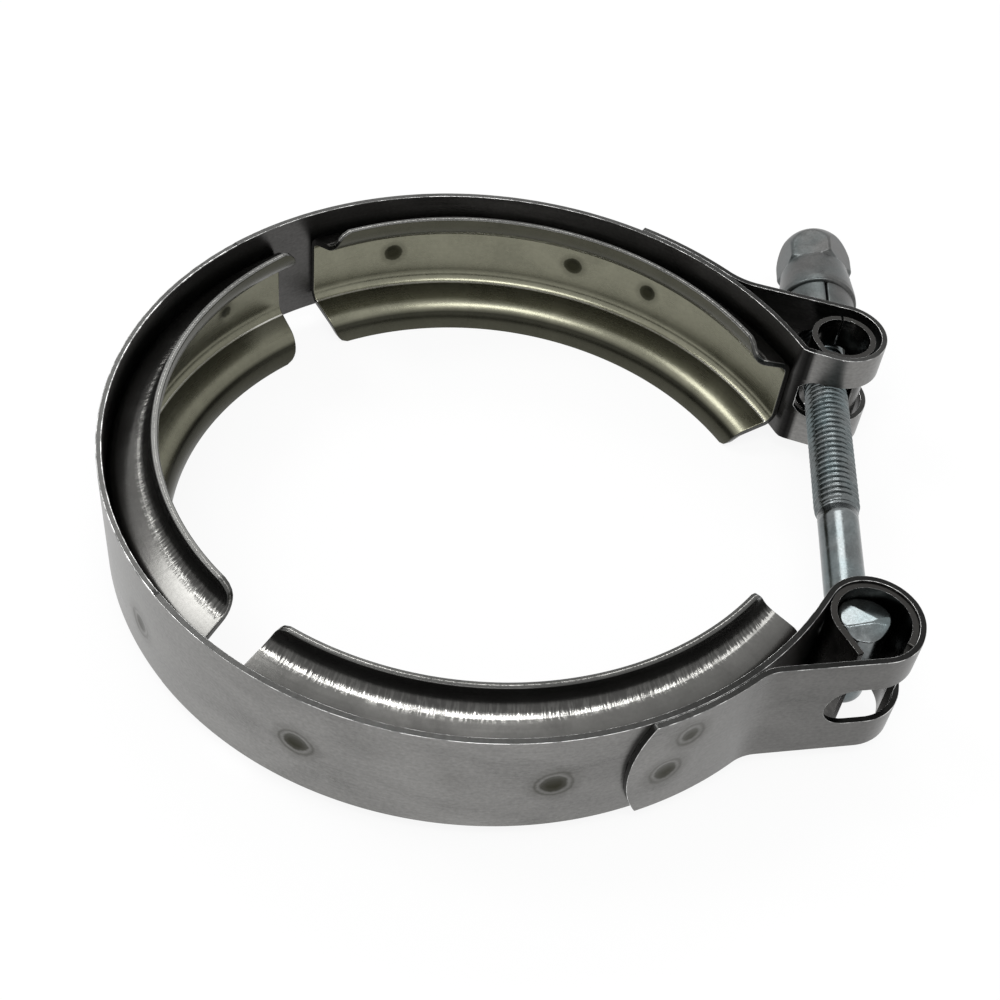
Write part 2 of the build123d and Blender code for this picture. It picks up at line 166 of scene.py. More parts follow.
class LoopSettings(PropertyGroup):
    near_azimuth: angle("Near azimuth", "Where the bolt head's loop lies round the ring", -25.08)
    near_clearance: length("Near clearance", "Gap from the ring to that loop's middle line", 0.07 * MM)
    near_radius: length("Near radius", "Middle radius up to the top of the loop", 7.2 * MM)
    near_wide_radius: length("Near wide radius", "Middle radius beyond the top", 7.8 * MM)
    near_heading: angle("Near heading", "Heading where the loop turns straight", -100.0)
    near_drop: length("Near drop", "Straight stretch before the outer corner", 0.7 * MM)
    near_corner: length("Near corner", "Radius of the outer corner", 7.8 * MM)
    near_leg_heading: angle("Near leg heading", "Heading of the leg that folds back", 195.0)
    near_blend: length("Near blend", "Radius where that leg meets the ring", 8.5 * MM)
    near_tab_end: angle("Near tab end", "Where the folded tab ends round the ring", -64.0)
    far_azimuth: angle("Far azimuth", "Where the trunnion's loop lies round the ring", 30.3)
    far_clearance: length("Far clearance", "Gap from the ring to that loop's middle line", 1.85 * MM)
    far_radius: length("Far radius", "Middle radius of the loop", 7.5 * MM)
    far_entry_heading: angle("Far entry heading", "Heading of the stretch that enters the loop", -12.0)
    far_corner: length("Far corner", "Radius where the strap leaves the ring", 1.6 * MM)
    far_leg_heading: angle("Far leg heading", "Heading of the leg that folds back", 170.3)
    far_blend: length("Far blend", "Radius where that leg meets the ring", 12.5 * MM)
    far_tab_end: angle("Far tab end", "Where the folded tab ends round the ring", 70.0)
    roll_sheet: length("Roll sheet", "Thickness of the rolled saddle and trunnion", 1.0 * MM)
    roll_gap: length("Roll gap", "Air between a roll and its loop", 0.1 * MM)
    roll_inset: length("Roll inset", "How much narrower a roll is than the strap at each edge", 0.4 * MM)
    saddle_tail_heading: angle("Saddle tail heading", "Heading of the saddle's tail", 122.0)
    saddle_tail: length("Saddle tail", "Length of the saddle's tail", 5.5 * MM)
    saddle_drop: length("Saddle drop", "Straight stretch at the saddle's outer end", 0.7 * MM)
    saddle_end_turn: angle("Saddle end turn", "Turn of the saddle's outer end", 22.0)
    saddle_slot_reach: length("Saddle slot reach", "From the bolt's axis to the slot's outer end", 5.15 * MM)
    trunnion_radius: length("Trunnion radius", "Middle radius of the trunnion", 5.4 * MM)
    trunnion_tail: length("Trunnion tail", "How far its fold lies inside its centre", 4.0 * MM)
    trunnion_tail_gap: length("Trunnion tail gap", "Air under that fold", 0.2 * MM)
    trunnion_play: length("Trunnion play", "Sideways play of the bolt in it", 1.9 * MM)
    seam: length("Seam", "Width of the seam of a rolled part", 0.35 * MM)
    steel: colour("Steel", "Colour of the rolled parts", (0.06, 0.058, 0.055))


class RetainerSettings(PropertyGroup):
    sheet: length("Sheet", "Thickness of the retainers", 1.2 * MM)
    foot_radius: length("Foot radius", "Inner radius of the feet", mount("flange_joint")["dims"]["r_mm"] * MM)
    groove_half: length("Groove half height", "Half the height of the groove's root, middle line", 6.9 * MM)
    flank_angle: angle("Flank angle", "Slope of the groove's flanks", 20.0)
    root_bend: length("Root bend", "Middle radius of the root's bends", 2.6 * MM)
    foot_bend: length("Foot bend", "Middle radius of the feet's bends", 4.2 * MM)
    setback: length("Setback", "How far the feet stop short at each end", 3.6 * MM)
    setback_start: length("Setback start", "Height at which an end starts to slope back", 7.4 * MM)
    notch: angle("Notch", "Bare angle between neighbouring retainers", 7.2)
    gap_half: angle("Gap", "Half the bare angle at the bolt", 30.5)
    grain: length("Grain", "Spacing of the mesh", 0.7 * MM)
    edge: length("Edge round", "Rounding of the sheared edges", 0.2 * MM)
    ripple: length("Ripple", "Height of the ripples that rolling leaves at the bends", 0.03 * MM)
    steel: colour("Steel", "Colour of the polished outer faces", (0.17, 0.168, 0.16))
    # Painted reflection: the inner faces' olive colour stands in for the dark olive surroundings that they mirror.
    olive: colour("Inner faces", "Colour of the dull inner faces", (0.205, 0.202, 0.152))
    rim: colour("Rims", "Colour of the sheared rims", (0.07, 0.07, 0.067))
    stain: colour("Weld stain", "Colour that the heat of a weld leaves", (0.016, 0.016, 0.009))


class BoltSettings(PropertyGroup):
    head_radius: length("Head radius", "Radius of the cross-head", 4.2 * MM)
    head_half: length("Head half length", "Half the length of the cross-head", 9.6 * MM)
    head_edge: length("Head edge", "Rounding of the head's lower end", 1.4 * MM)
    top_edge: length("Top edge", "Rounding of the head's upper end", 0.5 * MM)
    shank_radius: length("Shank radius", "Radius of the plain shank", 3.55 * MM)
    shank_length: length("Shank length", "From the head's middle to the thread", 29.4 * MM)
    thread_radius: length("Thread radius", "Outer radius of the thread", 4.0 * MM)
    thread_pitch: length("Thread pitch", "Pitch of the thread", 1.25 * MM)
    thread_depth: length("Thread depth", "Depth of the thread", 0.68 * MM)
    point: length("Point", "Chamfer of the point", 1.0 * MM)
    around: IntProperty(name="Steps round", description="Mesh steps round the thread", default=40, min=12)
    per_turn: IntProperty(name="Steps per turn", description="Mesh steps along one pitch", default=10, min=6)
    zinc: colour("Zinc", "Colour of the zinc plate", (0.15, 0.162, 0.164))


class NutSettings(PropertyGroup):
    across_flats: length("Across flats", "Width across the flats", 13.0 * MM)
    turn: angle("Turn", "How far the hexagon's top facet is turned towards the ring", 18.0)
    flange_radius: length("Flange radius", "Radius of the flange", 7.6 * MM)
    flange_rim: length("Flange rim", "Height of the flange's rim", 1.6 * MM)
    cone_length: length("Cone length", "From the seat to the top of the cone", 9.0 * MM)
    cone_radius: length("Cone radius", "Radius of the cone's top", 6.75 * MM)
    crown_start: length("Crown start", "From the seat to where the crown starts", 12.0 * MM)
    crown_radius: length("Crown radius", "Radius of the crown's end", 4.7 * MM)
    bore: length("Bore", "Radius of the bore", 4.06 * MM)
    sleeve_radius: length("Sleeve radius", "Outer radius of the spacer sleeve", 7.1 * MM)
    sleeve_bore: length("Sleeve bore", "Inner radius of the spacer sleeve", 4.25 * MM)
    zinc: colour("Zinc", "Colour of the nut", (0.095, 0.095, 0.093))
    sleeve_steel: colour("Sleeve steel", "Colour of the sleeve", (0.1, 0.1, 0.098))


class StudioSettings(PropertyGroup):
    lens: FloatProperty(name="Lens", description="Focal length of the camera in millimetres", default=56.65)
    elevation: angle("Elevation", "Height of the camera's view", 47.092)
    roll: angle("Roll", "Roll of the camera", 7.773)
    place: FloatVectorProperty(
        name="Place", description="Where the camera stands", default=(0.00414, -0.1895, 0.1983), unit="LENGTH"
    )
    floor: colour("Floor", "Colour of the floor and the backdrop", (0.93, 0.93, 0.93))


class ClampSettings(PropertyGroup):
    strap: PointerProperty(type=StrapSettings)
    loops: PointerProperty(type=LoopSettings)
    retainer: PointerProperty(type=RetainerSettings)
    bolt: PointerProperty(type=BoltSettings)
    nut: PointerProperty(type=NutSettings)
    studio: PointerProperty(type=StudioSettings)


# ------------------------------------------------------------------ plan geometry
def polar(radius, azimuth):
    return np.array([radius * cos(radians(azimuth)), radius * sin(radians(azimuth))])


def side_point(centre, radius, heading, turn):
    """Where a path that turns about centre (1 anticlockwise, -1 clockwise) has this heading."""
    return centre + polar(radius, heading - 90 * turn)


def blend_centre(ring_radius, blend_radius, start, heading, side):
    """Centre of the arc outside a ring that rounds a straight approach; side is 1 to its left."""
    ahead = polar(1, heading)
    base = start + polar(blend_radius, heading + 90 * side)
    along = base @ ahead
    reach = along**2 - base @ base + (ring_radius + blend_radius) ** 2
    return base - ahead * (along + sqrt(reach))


class Course:
    """A flat path of straight and round stretches, which gives its point and heading at any distance."""

    def __init__(self, start, heading):
        self.legs = []
        self.total = 0.0
        self.point = np.array(start, float)
        self.heading = heading

    def line(self, distance):
        return self._add(distance, 0.0)

    def line_to(self, point):
        """Runs straight on as far as this point lies ahead."""
        return self.line(float(np.linalg.norm(point - self.point)))

    def arc(self, radius, turn):
        """Turns by this many degrees, to the left when positive."""
        return self._add(radius * radians(abs(turn)), (1 if turn > 0 else -1) / radius)

    def _add(self, distance, bend):
        self.legs.append((self.total, self.point, radians(self.heading), bend))
        self.total += distance
        self.point, heading = self._move(self.legs[-1], np.array([self.total]))
        self.point = self.point[0]
        self.heading = degrees(heading[0])
        return self

    @staticmethod
    def _move(leg, distances):
        begun, point, heading, bend = leg
        run = distances - begun
        headings = heading + run * bend
        if bend:
            x = (np.sin(headings) - sin(heading)) / bend
            y = (cos(heading) - np.cos(headings)) / bend
        else:
            x = run * cos(heading)
            y = run * sin(heading)
        return point + np.stack([x, y], -1), headings

    def at(self, distances):
        """Points and headings, in radians, at these distances along the path."""
        distances = np.asarray(distances, float)
        points = np.zeros(distances.shape + (2,))
        headings = np.zeros(distances.shape)
        ends = [leg[0] for leg in self.legs[1:]] + [self.total + 1]
        for leg, end in zip(self.legs, ends):
            here = (distances >= leg[0] - 1e-12) & (distances <= end)
            points[here], headings[here] = self._move(leg, distances[here])
        return points, headings

    def where(self, x, low, high):
        """The distance between low and high at which the path crosses this x."""
        steps = np.linspace(low, high, 4000)
        xs = self.at(steps)[0][:, 0]
        order = np.argsort(xs)
        return np.interp(x, xs[order], steps[order])


def bolt_x(y):
    """Where the bolt's axis crosses this y."""
    return BOLT_HEAD.x + BOLT_AHEAD.x * (y - BOLT_HEAD.y) / BOLT_AHEAD.y


# ------------------------------------------------------------------ mesh building
def spaced(low, high, grain):
    """Values from low to high, about grain apart."""
    return np.linspace(low, high, max(2, int(round(abs(high - low) / grain)) + 1))


def lattice(columns, rows):
    """u and v of a patch whose columns lie along the path and whose rows lie across it."""
    return np.repeat(columns[:, None], len(rows), 1), np.repeat(rows[None, :], len(columns), 0)


def weld_patches(patches, tolerance=1e-7):
    """The corners and quads of patches of one surface, welded where they meet.

    A patch is two arrays of one shape, u along the path and v across it; their first index runs along it.
    """
    corners = []
    quads = []
    count = 0
    for u, v in patches:
        rows, columns = u.shape
        index = count + np.arange(rows * columns).reshape(rows, columns)
        around = [index[:-1, :-1], index[1:, :-1], index[1:, 1:], index[:-1, 1:]]
        quads.append(np.stack(around, -1).reshape(-1, 4))
        corners.append(np.stack([u.ravel(), v.ravel()], -1))
        count += rows * columns
    corners = np.concatenate(corners)
    keys = np.round(corners / tolerance).astype(np.int64)
    _, first, welded = np.unique(keys, axis=0, return_index=True, return_inverse=True)
    return corners[first], welded.reshape(-1)[np.concatenate(quads)]


def boundary(quads):
    """The edges of quads that belong to one quad only, in its own direction."""
    edges = np.concatenate([quads[:, [k, (k + 1) % 4]] for k in range(4)])
    keys = np.sort(edges, axis=1)
    _, first, counts = np.unique(keys, axis=0, return_index=True, return_counts=True)
    return edges[first[counts == 1]]


def sheet_mesh(name, corners, quads, front, back, seams=(), along=None):
    """A closed sheet between two faces of the same layout, whose UV map is along, or else its corners.

    Its rim is marked for rounding, except where it lies at a seam, which is a value of the first coordinate.
    The face attribute "rim" is 1 on the rim.
    """
    count = len(front)
    rim = boundary(quads)
    rim_quads = np.stack([rim[:, 1], rim[:, 0], rim[:, 0] + count, rim[:, 1] + count], -1)
    faces = np.concatenate([quads, quads[:, ::-1] + count, rim_quads])
    along = corners if along is None else along
    mesh = mesh_of(name, np.concatenate([front, back]), faces, np.concatenate([along, along]))
    at_seam = np.zeros(count, bool)
    for seam in seams:
        at_seam |= np.abs(corners[:, 0] - seam) < 1e-6
    on_seam = at_seam[rim[:, 0]] & at_seam[rim[:, 1]]
    rounded = edge_keys(rim[~on_seam], count)
    creased = edge_keys(rim[on_seam], count)
    edges = [tuple(sorted(edge.vertices)) for edge in mesh.edges]
    weights = mesh.attributes.new("bevel_weight_edge", "FLOAT", "EDGE")
    weights.data.foreach_set("value", [float(edge in rounded) for edge in edges])
    sharp = mesh.attributes.new("sharp_edge", "BOOLEAN", "EDGE")
    sharp.data.foreach_set("value", [edge in creased for edge in edges])
    paint(mesh, "rim", np.arange(len(faces)) >= 2 * len(quads), "FACE")
    return mesh


def edge_keys(edges, count):
    """The edges of a rim on both faces of a sheet, as sorted pairs."""
    return {tuple(sorted(edge)) for edge in np.concatenate([edges, edges + count]).tolist()}


def mesh_of(name, points, faces, uv=None):
    mesh = bpy.data.meshes.new(name)
    mesh.from_pydata(points.tolist(), [], faces.tolist() if isinstance(faces, np.ndarray) else faces)
    if uv is not None:
        loops = np.zeros(len(mesh.loops), np.int32)
        mesh.loops.foreach_get("vertex_index", loops)
        layer = mesh.uv_layers.new(name="along")
        layer.data.foreach_set("uv", uv[loops].astype(np.float32).ravel())
    mesh.polygons.foreach_set("use_smooth", np.ones(len(mesh.polygons), bool))
    mesh.update()
    return mesh


def paint(mesh, name, values, domain="POINT"):
    """Stores one number per point or per face for a material to read."""
    attribute = mesh.attributes.new(name, "FLOAT", domain)
    attribute.data.foreach_set("value", np.asarray(values, np.float32))


def paint_faces(mesh, name, front, back):
    """Stores one number per point of a sheet's front face and of its back face."""
    paint(mesh, name, np.concatenate([front, back]))


def object_of(mesh, *materials):
    for material in materials:
        mesh.materials.append(material)
    piece = bpy.data.objects.new(mesh.name, mesh)
    bpy.context.scene.collection.objects.link(piece)
    return piece


def soften(piece, width, segments=2):
    """Rounds the marked edges of a piece and bakes the result into its mesh."""
    bevel = piece.modifiers.new("edges", "BEVEL")
    bevel.width = width
    bevel.segments = segments
    bevel.limit_method = "WEIGHT"
    bevel.material = len(piece.data.materials) - 1
    bevel.harden_normals = True
    return freeze(piece)


def freeze(piece):
    """Bakes a piece's modifiers into its mesh."""
    bpy.context.view_layer.update()
    made = bpy.data.meshes.new_from_object(piece.evaluated_get(bpy.context.evaluated_depsgraph_get()))
    made.name = piece.data.name
    piece.modifiers.clear()
    piece.data = made
    return piece


def seat(piece, body, slot, *nodes):
    """Puts a finished piece on its body in place of its plain CAD nodes."""
    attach(piece, body)
    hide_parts(*nodes)
    return piece


# ------------------------------------------------------------------ strips with slots and round ends
def round_end(course, edge, side, half, low, high):
    """Where a slot's round end lies along course, for each height from the slot's middle.

    edge is the x that the slot just reaches, and side is 1 if the slot lies at larger x.
    """
    def end(heights):
        inset = half - np.sqrt(np.maximum(half**2 - np.asarray(heights) ** 2, 0.0))
        return course.where(edge + side * inset, low, high)
    return end


def strip_spans(course, half, slots):
    """Stretches of a strip as (start, end, start's curve, end's curve, whether the core is there)."""
    spans = []
    here, curve = 0.0, None
    for first, last in slots:
        if first is not None:
            edge = float(first(half))
            spans.append((here, edge, curve, first, True))
            here = edge
        if last is None:
            spans.append((here, course.total, None, None, False))
            return spans
        edge = float(last(half))
        spans.append((here, edge, None, None, False))
        here, curve = edge, last
    spans.append((here, course.total, curve, None, True))
    return spans


def pull(u, edge, target, span, side):
    """Moves the columns near an edge so that its own column lies on target; side 1 reaches to larger u."""
    share = np.clip(1 - side * (u - edge) / span, 0, 1)
    u += share * (target - edge)[None, :]


def strip_grid(course, low, high, grain, slots=(), half=0.0, trim=None, warp=6 * MM):
    """Quads over a strip from height low to high, with slots in its core and a trimmed last end.

    Each slot is (first end, last end), functions of the height from the middle, or None where it is open.
    trim gives where the strip ends for each height from the middle.
    """
    patches = []
    middle = (low + high) / 2
    bands = [(spaced(low, high, grain), False)]
    if slots:
        core = middle + half * np.sin(np.linspace(-pi / 2, pi / 2, 17))
        bands = [(spaced(low, core[0], grain), False), (core, True), (spaced(core[-1], high, grain), False)]
    for start, end, start_curve, end_curve, whole in strip_spans(course, half, slots):
        columns = spaced(start, end, grain)
        reach = min(warp, (end - start) / 2)
        for heights, is_core in bands:
            if is_core and not whole:
                continue
            u, v = lattice(columns, heights)
            if is_core and start_curve:
                pull(u, start, start_curve(heights - middle), reach, 1)
            if is_core and end_curve:
                pull(u, end, end_curve(heights - middle), reach, -1)
            if trim and end == course.total:
                pull(u, end, trim(heights - middle), 2 * warp, -1)
            patches.append((u, v))
    return weld_patches(patches)


def lay_strip(name, course, corners, quads, thickness, left_dent=0.0, right_dent=0.0, seams=(), along=None):
    """The closed sheet that follows a course; the dents are how far its two faces are pushed in."""
    points, headings = course.at(corners[:, 0])
    left = np.stack([-np.sin(headings), np.cos(headings), np.zeros(len(headings))], -1)
    middle = np.column_stack([points, corners[:, 1]])
    front = middle - left * np.reshape(thickness / 2 - right_dent, (-1, 1))
    back = middle + left * np.reshape(thickness / 2 - left_dent, (-1, 1))
    return sheet_mesh(name, corners, quads, front, back, seams, along)


# ------------------------------------------------------------------ finishes
class Nodes:
    """Adds nodes to a tree and wires them up."""

    def __init__(self, tree):
        self.tree = tree

    def put(self, value, socket):
        """Gives a socket a link or a plain value; None leaves its default."""
        if isinstance(value, bpy.types.NodeSocket):
            self.tree.links.new(value, socket)
        elif value is not None:
            socket.default_value = value

    def node(self, kind, *inputs, **settings):
        """Adds a node with its settings and its first inputs, as put takes them."""
        made = self.tree.nodes.new(kind)
        for name, value in settings.items():
            setattr(made, name, value)
        for socket, value in zip(made.inputs, inputs):
            self.put(value, socket)
        return made

    def math(self, operation, *inputs):
        return self.node("ShaderNodeMath", *inputs, operation=operation).outputs[0]

    def total(self, base, *parts):
        """base plus the value of each part times its weight."""
        for value, weight in parts:
            base = self.math("MULTIPLY_ADD", value, weight, base)
        return base

    def fit(self, *inputs, **settings):
        """A value from one range laid on another: value, low, high, new low, new high."""
        return self.node("ShaderNodeMapRange", *inputs, **settings).outputs[0]

    def seen(self):
        """1 where the camera sees this, also mirrored or through glass, and 0 where it only gives light."""
        rays = self.node("ShaderNodeLightPath").outputs
        bent = self.math("MAXIMUM", rays["Is Glossy Ray"], rays["Is Transmission Ray"])
        return self.math("MAXIMUM", rays["Is Camera Ray"], bent)


class Finish(Nodes):
    """A material, metal unless told otherwise, whose pattern is built from nodes."""

    def __init__(self, name, base, roughness, metallic=1.0):
        self.material = bpy.data.materials.new(name)
        self.material.use_nodes = True
        super().__init__(self.material.node_tree)
        self.shader = self.tree.nodes["Principled BSDF"]
        self.set("Base Color", (*base, 1))
        self.set("Metallic", metallic)
        self.set("Roughness", roughness)

    def set(self, name, value):
        """Gives the shader's input of this name a value or a pattern."""
        self.put(value, self.shader.inputs[name])

    def attribute(self, name):
        return self.node("ShaderNodeAttribute", attribute_name=name).outputs["Fac"]

    def noise(self, vector, scale, detail=3.0, roughness=0.55, distortion=0.0):
        made = self.node("ShaderNodeTexNoise")
        for name, value in (("Vector", vector), ("Scale", scale), ("Detail", detail),
                            ("Roughness", roughness), ("Distortion", distortion)):
            self.put(value, made.inputs[name])
        return made.outputs["Fac"]

    def grain(self, scale, *looks):
        """Noise that is alike in every direction, with scale features a metre."""
        return self.noise(self.node("ShaderNodeTexCoord").outputs["Object"], scale, *looks)

    def streaks(self, along, across, *looks):
        """Noise with this many features a metre along the piece and across it."""
        distances = self.node("ShaderNodeUVMap", uv_map="along").outputs["UV"]
        stretched = self.node("ShaderNodeMapping", distances, None, None, (along, across, 1)).outputs[0]
        return self.noise(stretched, 1.0, *looks)

    def ramp(self, factor, *stops):
        """A smooth curve through (position, value) stops."""
        made = self.node("ShaderNodeValToRGB", factor)
        made.color_ramp.interpolation = "EASE"
        elements = made.color_ramp.elements
        while len(elements) < len(stops):
            elements.new(0.5)
        for element, (position, value) in zip(elements, stops):
            element.position = position
            element.color = (value, value, value, 1)
        return made.outputs[0]

    def mix(self, share, first, second):
        """A colour between two, which are patterns or plain colours."""
        made = self.node("ShaderNodeMix", share, data_type="RGBA")
        for tint, socket in ((first, made.inputs[6]), (second, made.inputs[7])):
            self.put(tint if isinstance(tint, bpy.types.NodeSocket) else (*tint, 1), socket)
        return made.outputs[2]

    def scaled(self, tint, factor):
        """A colour made lighter or darker by a factor."""
        made = self.node("ShaderNodeVectorMath", tint, operation="SCALE")
        self.put(factor, made.inputs["Scale"])
        return made.outputs[0]

    def relief(self, height, distance, strength=1.0):
        bump = self.node("ShaderNodeBump")
        for name, value in (("Strength", strength), ("Distance", distance), ("Height", height)):
            self.put(value, bump.inputs[name])
        self.set("Normal", bump.outputs[0])


def shade(colour, factor):
    return tuple(min(1.0, c * factor) for c in colour)


def satin_strap(settings):
    """Stainless strip, brushed along its length, with painted shade inside and in its loops, dark rims, and
    browned round its welds.
    """
    finish = Finish("satin_strap", settings.steel, 0.34)
    lines = finish.streaks(35, 3200, 4.0, 0.6)
    fine = finish.streaks(160, 9000, 2.0)
    clouds = finish.streaks(60, 110, 5.0, 0.6, 0.6)
    grain = finish.streaks(1400, 1900, 3.0, 0.6)
    # Painted light and shade: the loops get darker steel and darker rims, and the inner face a dark colour, for
    # the shade they lie in.
    light_and_shade = finish.attribute("light_and_shade")
    outer = finish.mix(light_and_shade, settings.bent, settings.steel)
    faces = finish.mix(finish.attribute("inner"), outer, settings.inside)
    rims = finish.mix(light_and_shade, shade(settings.rim, 0.3), settings.rim)
    base = finish.mix(finish.attribute("rim"), faces, rims)
    # Painted shadow: a value from 0 to -1 darkens what the mixes have left at their lower end, down to black.
    dark = finish.math("MINIMUM", finish.math("ADD", light_and_shade, 1.0), 1.0)
    light = finish.total(0.02, (clouds, 0.9), (lines, 0.35), (grain, 0.7))
    streaked = finish.scaled(base, finish.math("MULTIPLY", light, dark))
    uneven = finish.total(-0.25, (finish.attribute("weld"), 1.0), (clouds, 0.5))
    stained = finish.ramp(uneven, (0.2, 1.0), (0.36, 0.88), (0.46, 0.25), (0.56, 0.6), (0.66, 0.22),
                          (1.0, 0.0))
    finish.set("Base Color", finish.mix(stained, streaked, settings.stain))
    finish.set("Roughness", finish.total(0.12, (clouds, 0.2), (lines, 0.2)))
    finish.relief(finish.total(lines, (grain, 0.4), (fine, 0.4)), 0.01 * MM, 0.6)
    return finish.material


def edge_highlight_and_wear(settings):
    """Painted highlight along the rounded edges, bright in stretches and dull between them like rubbed steel."""
    finish = Finish("edge_highlight_and_wear", settings.edge_highlight, 0.25)
    wear = finish.grain(420.0, 4.0, 0.65)
    rubbed = finish.ramp(wear, (0.36, 0.0), (0.66, 1.0))
    finish.set("Base Color", finish.mix(rubbed, shade(settings.edge_highlight, 0.25), shade(settings.edge_highlight, 1.3)))
    finish.set("Roughness", finish.total(0.12, (wear, 0.3)))
    finish.relief(wear, 0.02 * MM, 0.5)
    return finish.material


def pressed_steel(settings, name, line_highlight):
    """Rolled stainless with drawn strokes along its outer bends, dull inside, with painted light and shade.

    polish is how bright the painted highlight line is where a bend ends; the olive of the inner faces is a painted
    reflection of dark olive surroundings.
    """
    finish = Finish(name, settings.steel, 0.3)
    strokes = finish.streaks(2300, 330, 3.0, 0.6, 0.2)
    along = finish.streaks(22, 1500, 3.0, 0.55)
    clouds = finish.grain(95.0, 5.0, 0.6, 0.8)
    grain = finish.grain(1500.0, 3.0, 0.6)
    inner = finish.attribute("inner")
    light_and_shade = finish.attribute("light_and_shade")
    border = finish.attribute("border")

    # Painted light and shade scale the colour across the section; at the crease, where it rises far above 1, the
    # colour turns to bright steel as a thin painted highlight line.
    lit_and_shaded = finish.scaled(finish.mix(inner, settings.steel, settings.olive), light_and_shade)
    glint = finish.ramp(finish.math("MULTIPLY", light_and_shade, 0.3), (0.36, 0.0), (0.7, 1.0))
    creased = finish.mix(glint, lit_and_shaded, shade(settings.steel, 4.0))
    base = finish.mix(finish.attribute("rim"), creased, settings.rim)
    varied = finish.scaled(base, finish.total(0.4, (clouds, 0.7), (along, 0.2), (grain, 0.3)))

    # The border runs from 0 at the foot to 1 over the flank, and is 0.5 where the bend ends.
    beside = finish.ramp(border, (0.15, 0.0), (0.4, 0.25), (0.5, 1.0), (0.62, 0.0))
    combed = finish.math("MULTIPLY", finish.ramp(strokes, (0.46, 0.0), (0.6, 1.0)), beside)
    # Painted highlight: a bright jagged line along the border where the foot's bend ends, broken up by the clouds;
    # the combed strokes beside it are lighter marks.
    jagged = finish.total(-0.14, (border, 1.0), (strokes, 0.28))
    line = finish.math("MULTIPLY", finish.ramp(jagged, (0.455, 0.0), (0.495, line_highlight)),
                       finish.ramp(border, (0.52, 1.0), (0.55, 0.0)))
    broken_highlight = finish.math("MULTIPLY", line, finish.ramp(clouds, (0.38, 0.35), (0.55, 1.0)))
    rubbed = finish.mix(finish.math("MULTIPLY", combed, 0.55), varied, shade(settings.steel, 2.2))
    bright = finish.mix(broken_highlight, rubbed, shade(settings.steel, 4.2))

    uneven = finish.total(-0.2, (finish.attribute("weld"), 1.0), (clouds, 0.4))
    stained = finish.ramp(uneven, (0.25, 0.97), (0.42, 0.9), (0.52, 0.3), (0.85, 0.0))
    finish.set("Base Color", finish.mix(stained, bright, settings.stain))
    finish.set("Roughness", finish.total(0.08, (inner, 0.08), (clouds, 0.14), (along, 0.1)))
    # The foot's side of the bend is matt, so that it isn't only a mirror of the dark strap.
    finish.set("Metallic", finish.ramp(border, (0.46, 0.86), (0.56, 1.0)))
    ridges = finish.math("MULTIPLY", strokes, finish.math("ADD", combed, 0.04))
    finish.relief(finish.total(ridges, (grain, 0.1)), 0.08 * MM, 0.8)
    return finish.material


def rolled_steel(settings):
    """Dark, smooth steel of the rolled saddle and trunnion."""
    finish = Finish("rolled_steel", settings.steel, 0.25)
    clouds = finish.grain(260.0, 5.0, 0.6, 0.5)
    lines = finish.streaks(60, 3000, 3.0)
    patchy = finish.ramp(clouds, (0.35, 0.0), (0.7, 1.0))
    mottled = finish.mix(patchy, shade(settings.steel, 0.6), shade(settings.steel, 1.5))
    finish.set("Base Color", finish.mix(finish.attribute("rim"), mottled, shade(settings.steel, 0.7)))
    finish.set("Roughness", finish.total(0.12, (clouds, 0.25)))
    finish.relief(lines, 0.015 * MM, 0.6)
    return finish.material


def zinc_plate(name, colour, roughness):
    """Zinc plate with soft patches, fine pits and a faint cast."""
    finish = Finish(name, colour, roughness)
    patches = finish.grain(340.0, 5.0, 0.6, 0.6)
    pits = finish.grain(2600.0, 3.0, 0.6)
    cast = finish.ramp(finish.grain(120.0, 2.0), (0.35, 0.0), (0.65, 1.0))
    red, green, blue = colour
    tinted = finish.mix(cast, colour, (red * 0.9, green, blue * 1.02))
    finish.set("Base Color", finish.scaled(tinted, finish.total(0.1, (pits, 0.7), (patches, 1.1))))
    finish.set("Roughness", finish.total(roughness - 0.15, (patches, 0.3)))
    finish.relief(finish.total(patches, (pits, 0.5)), 0.02 * MM, 0.5)
    return finish.material


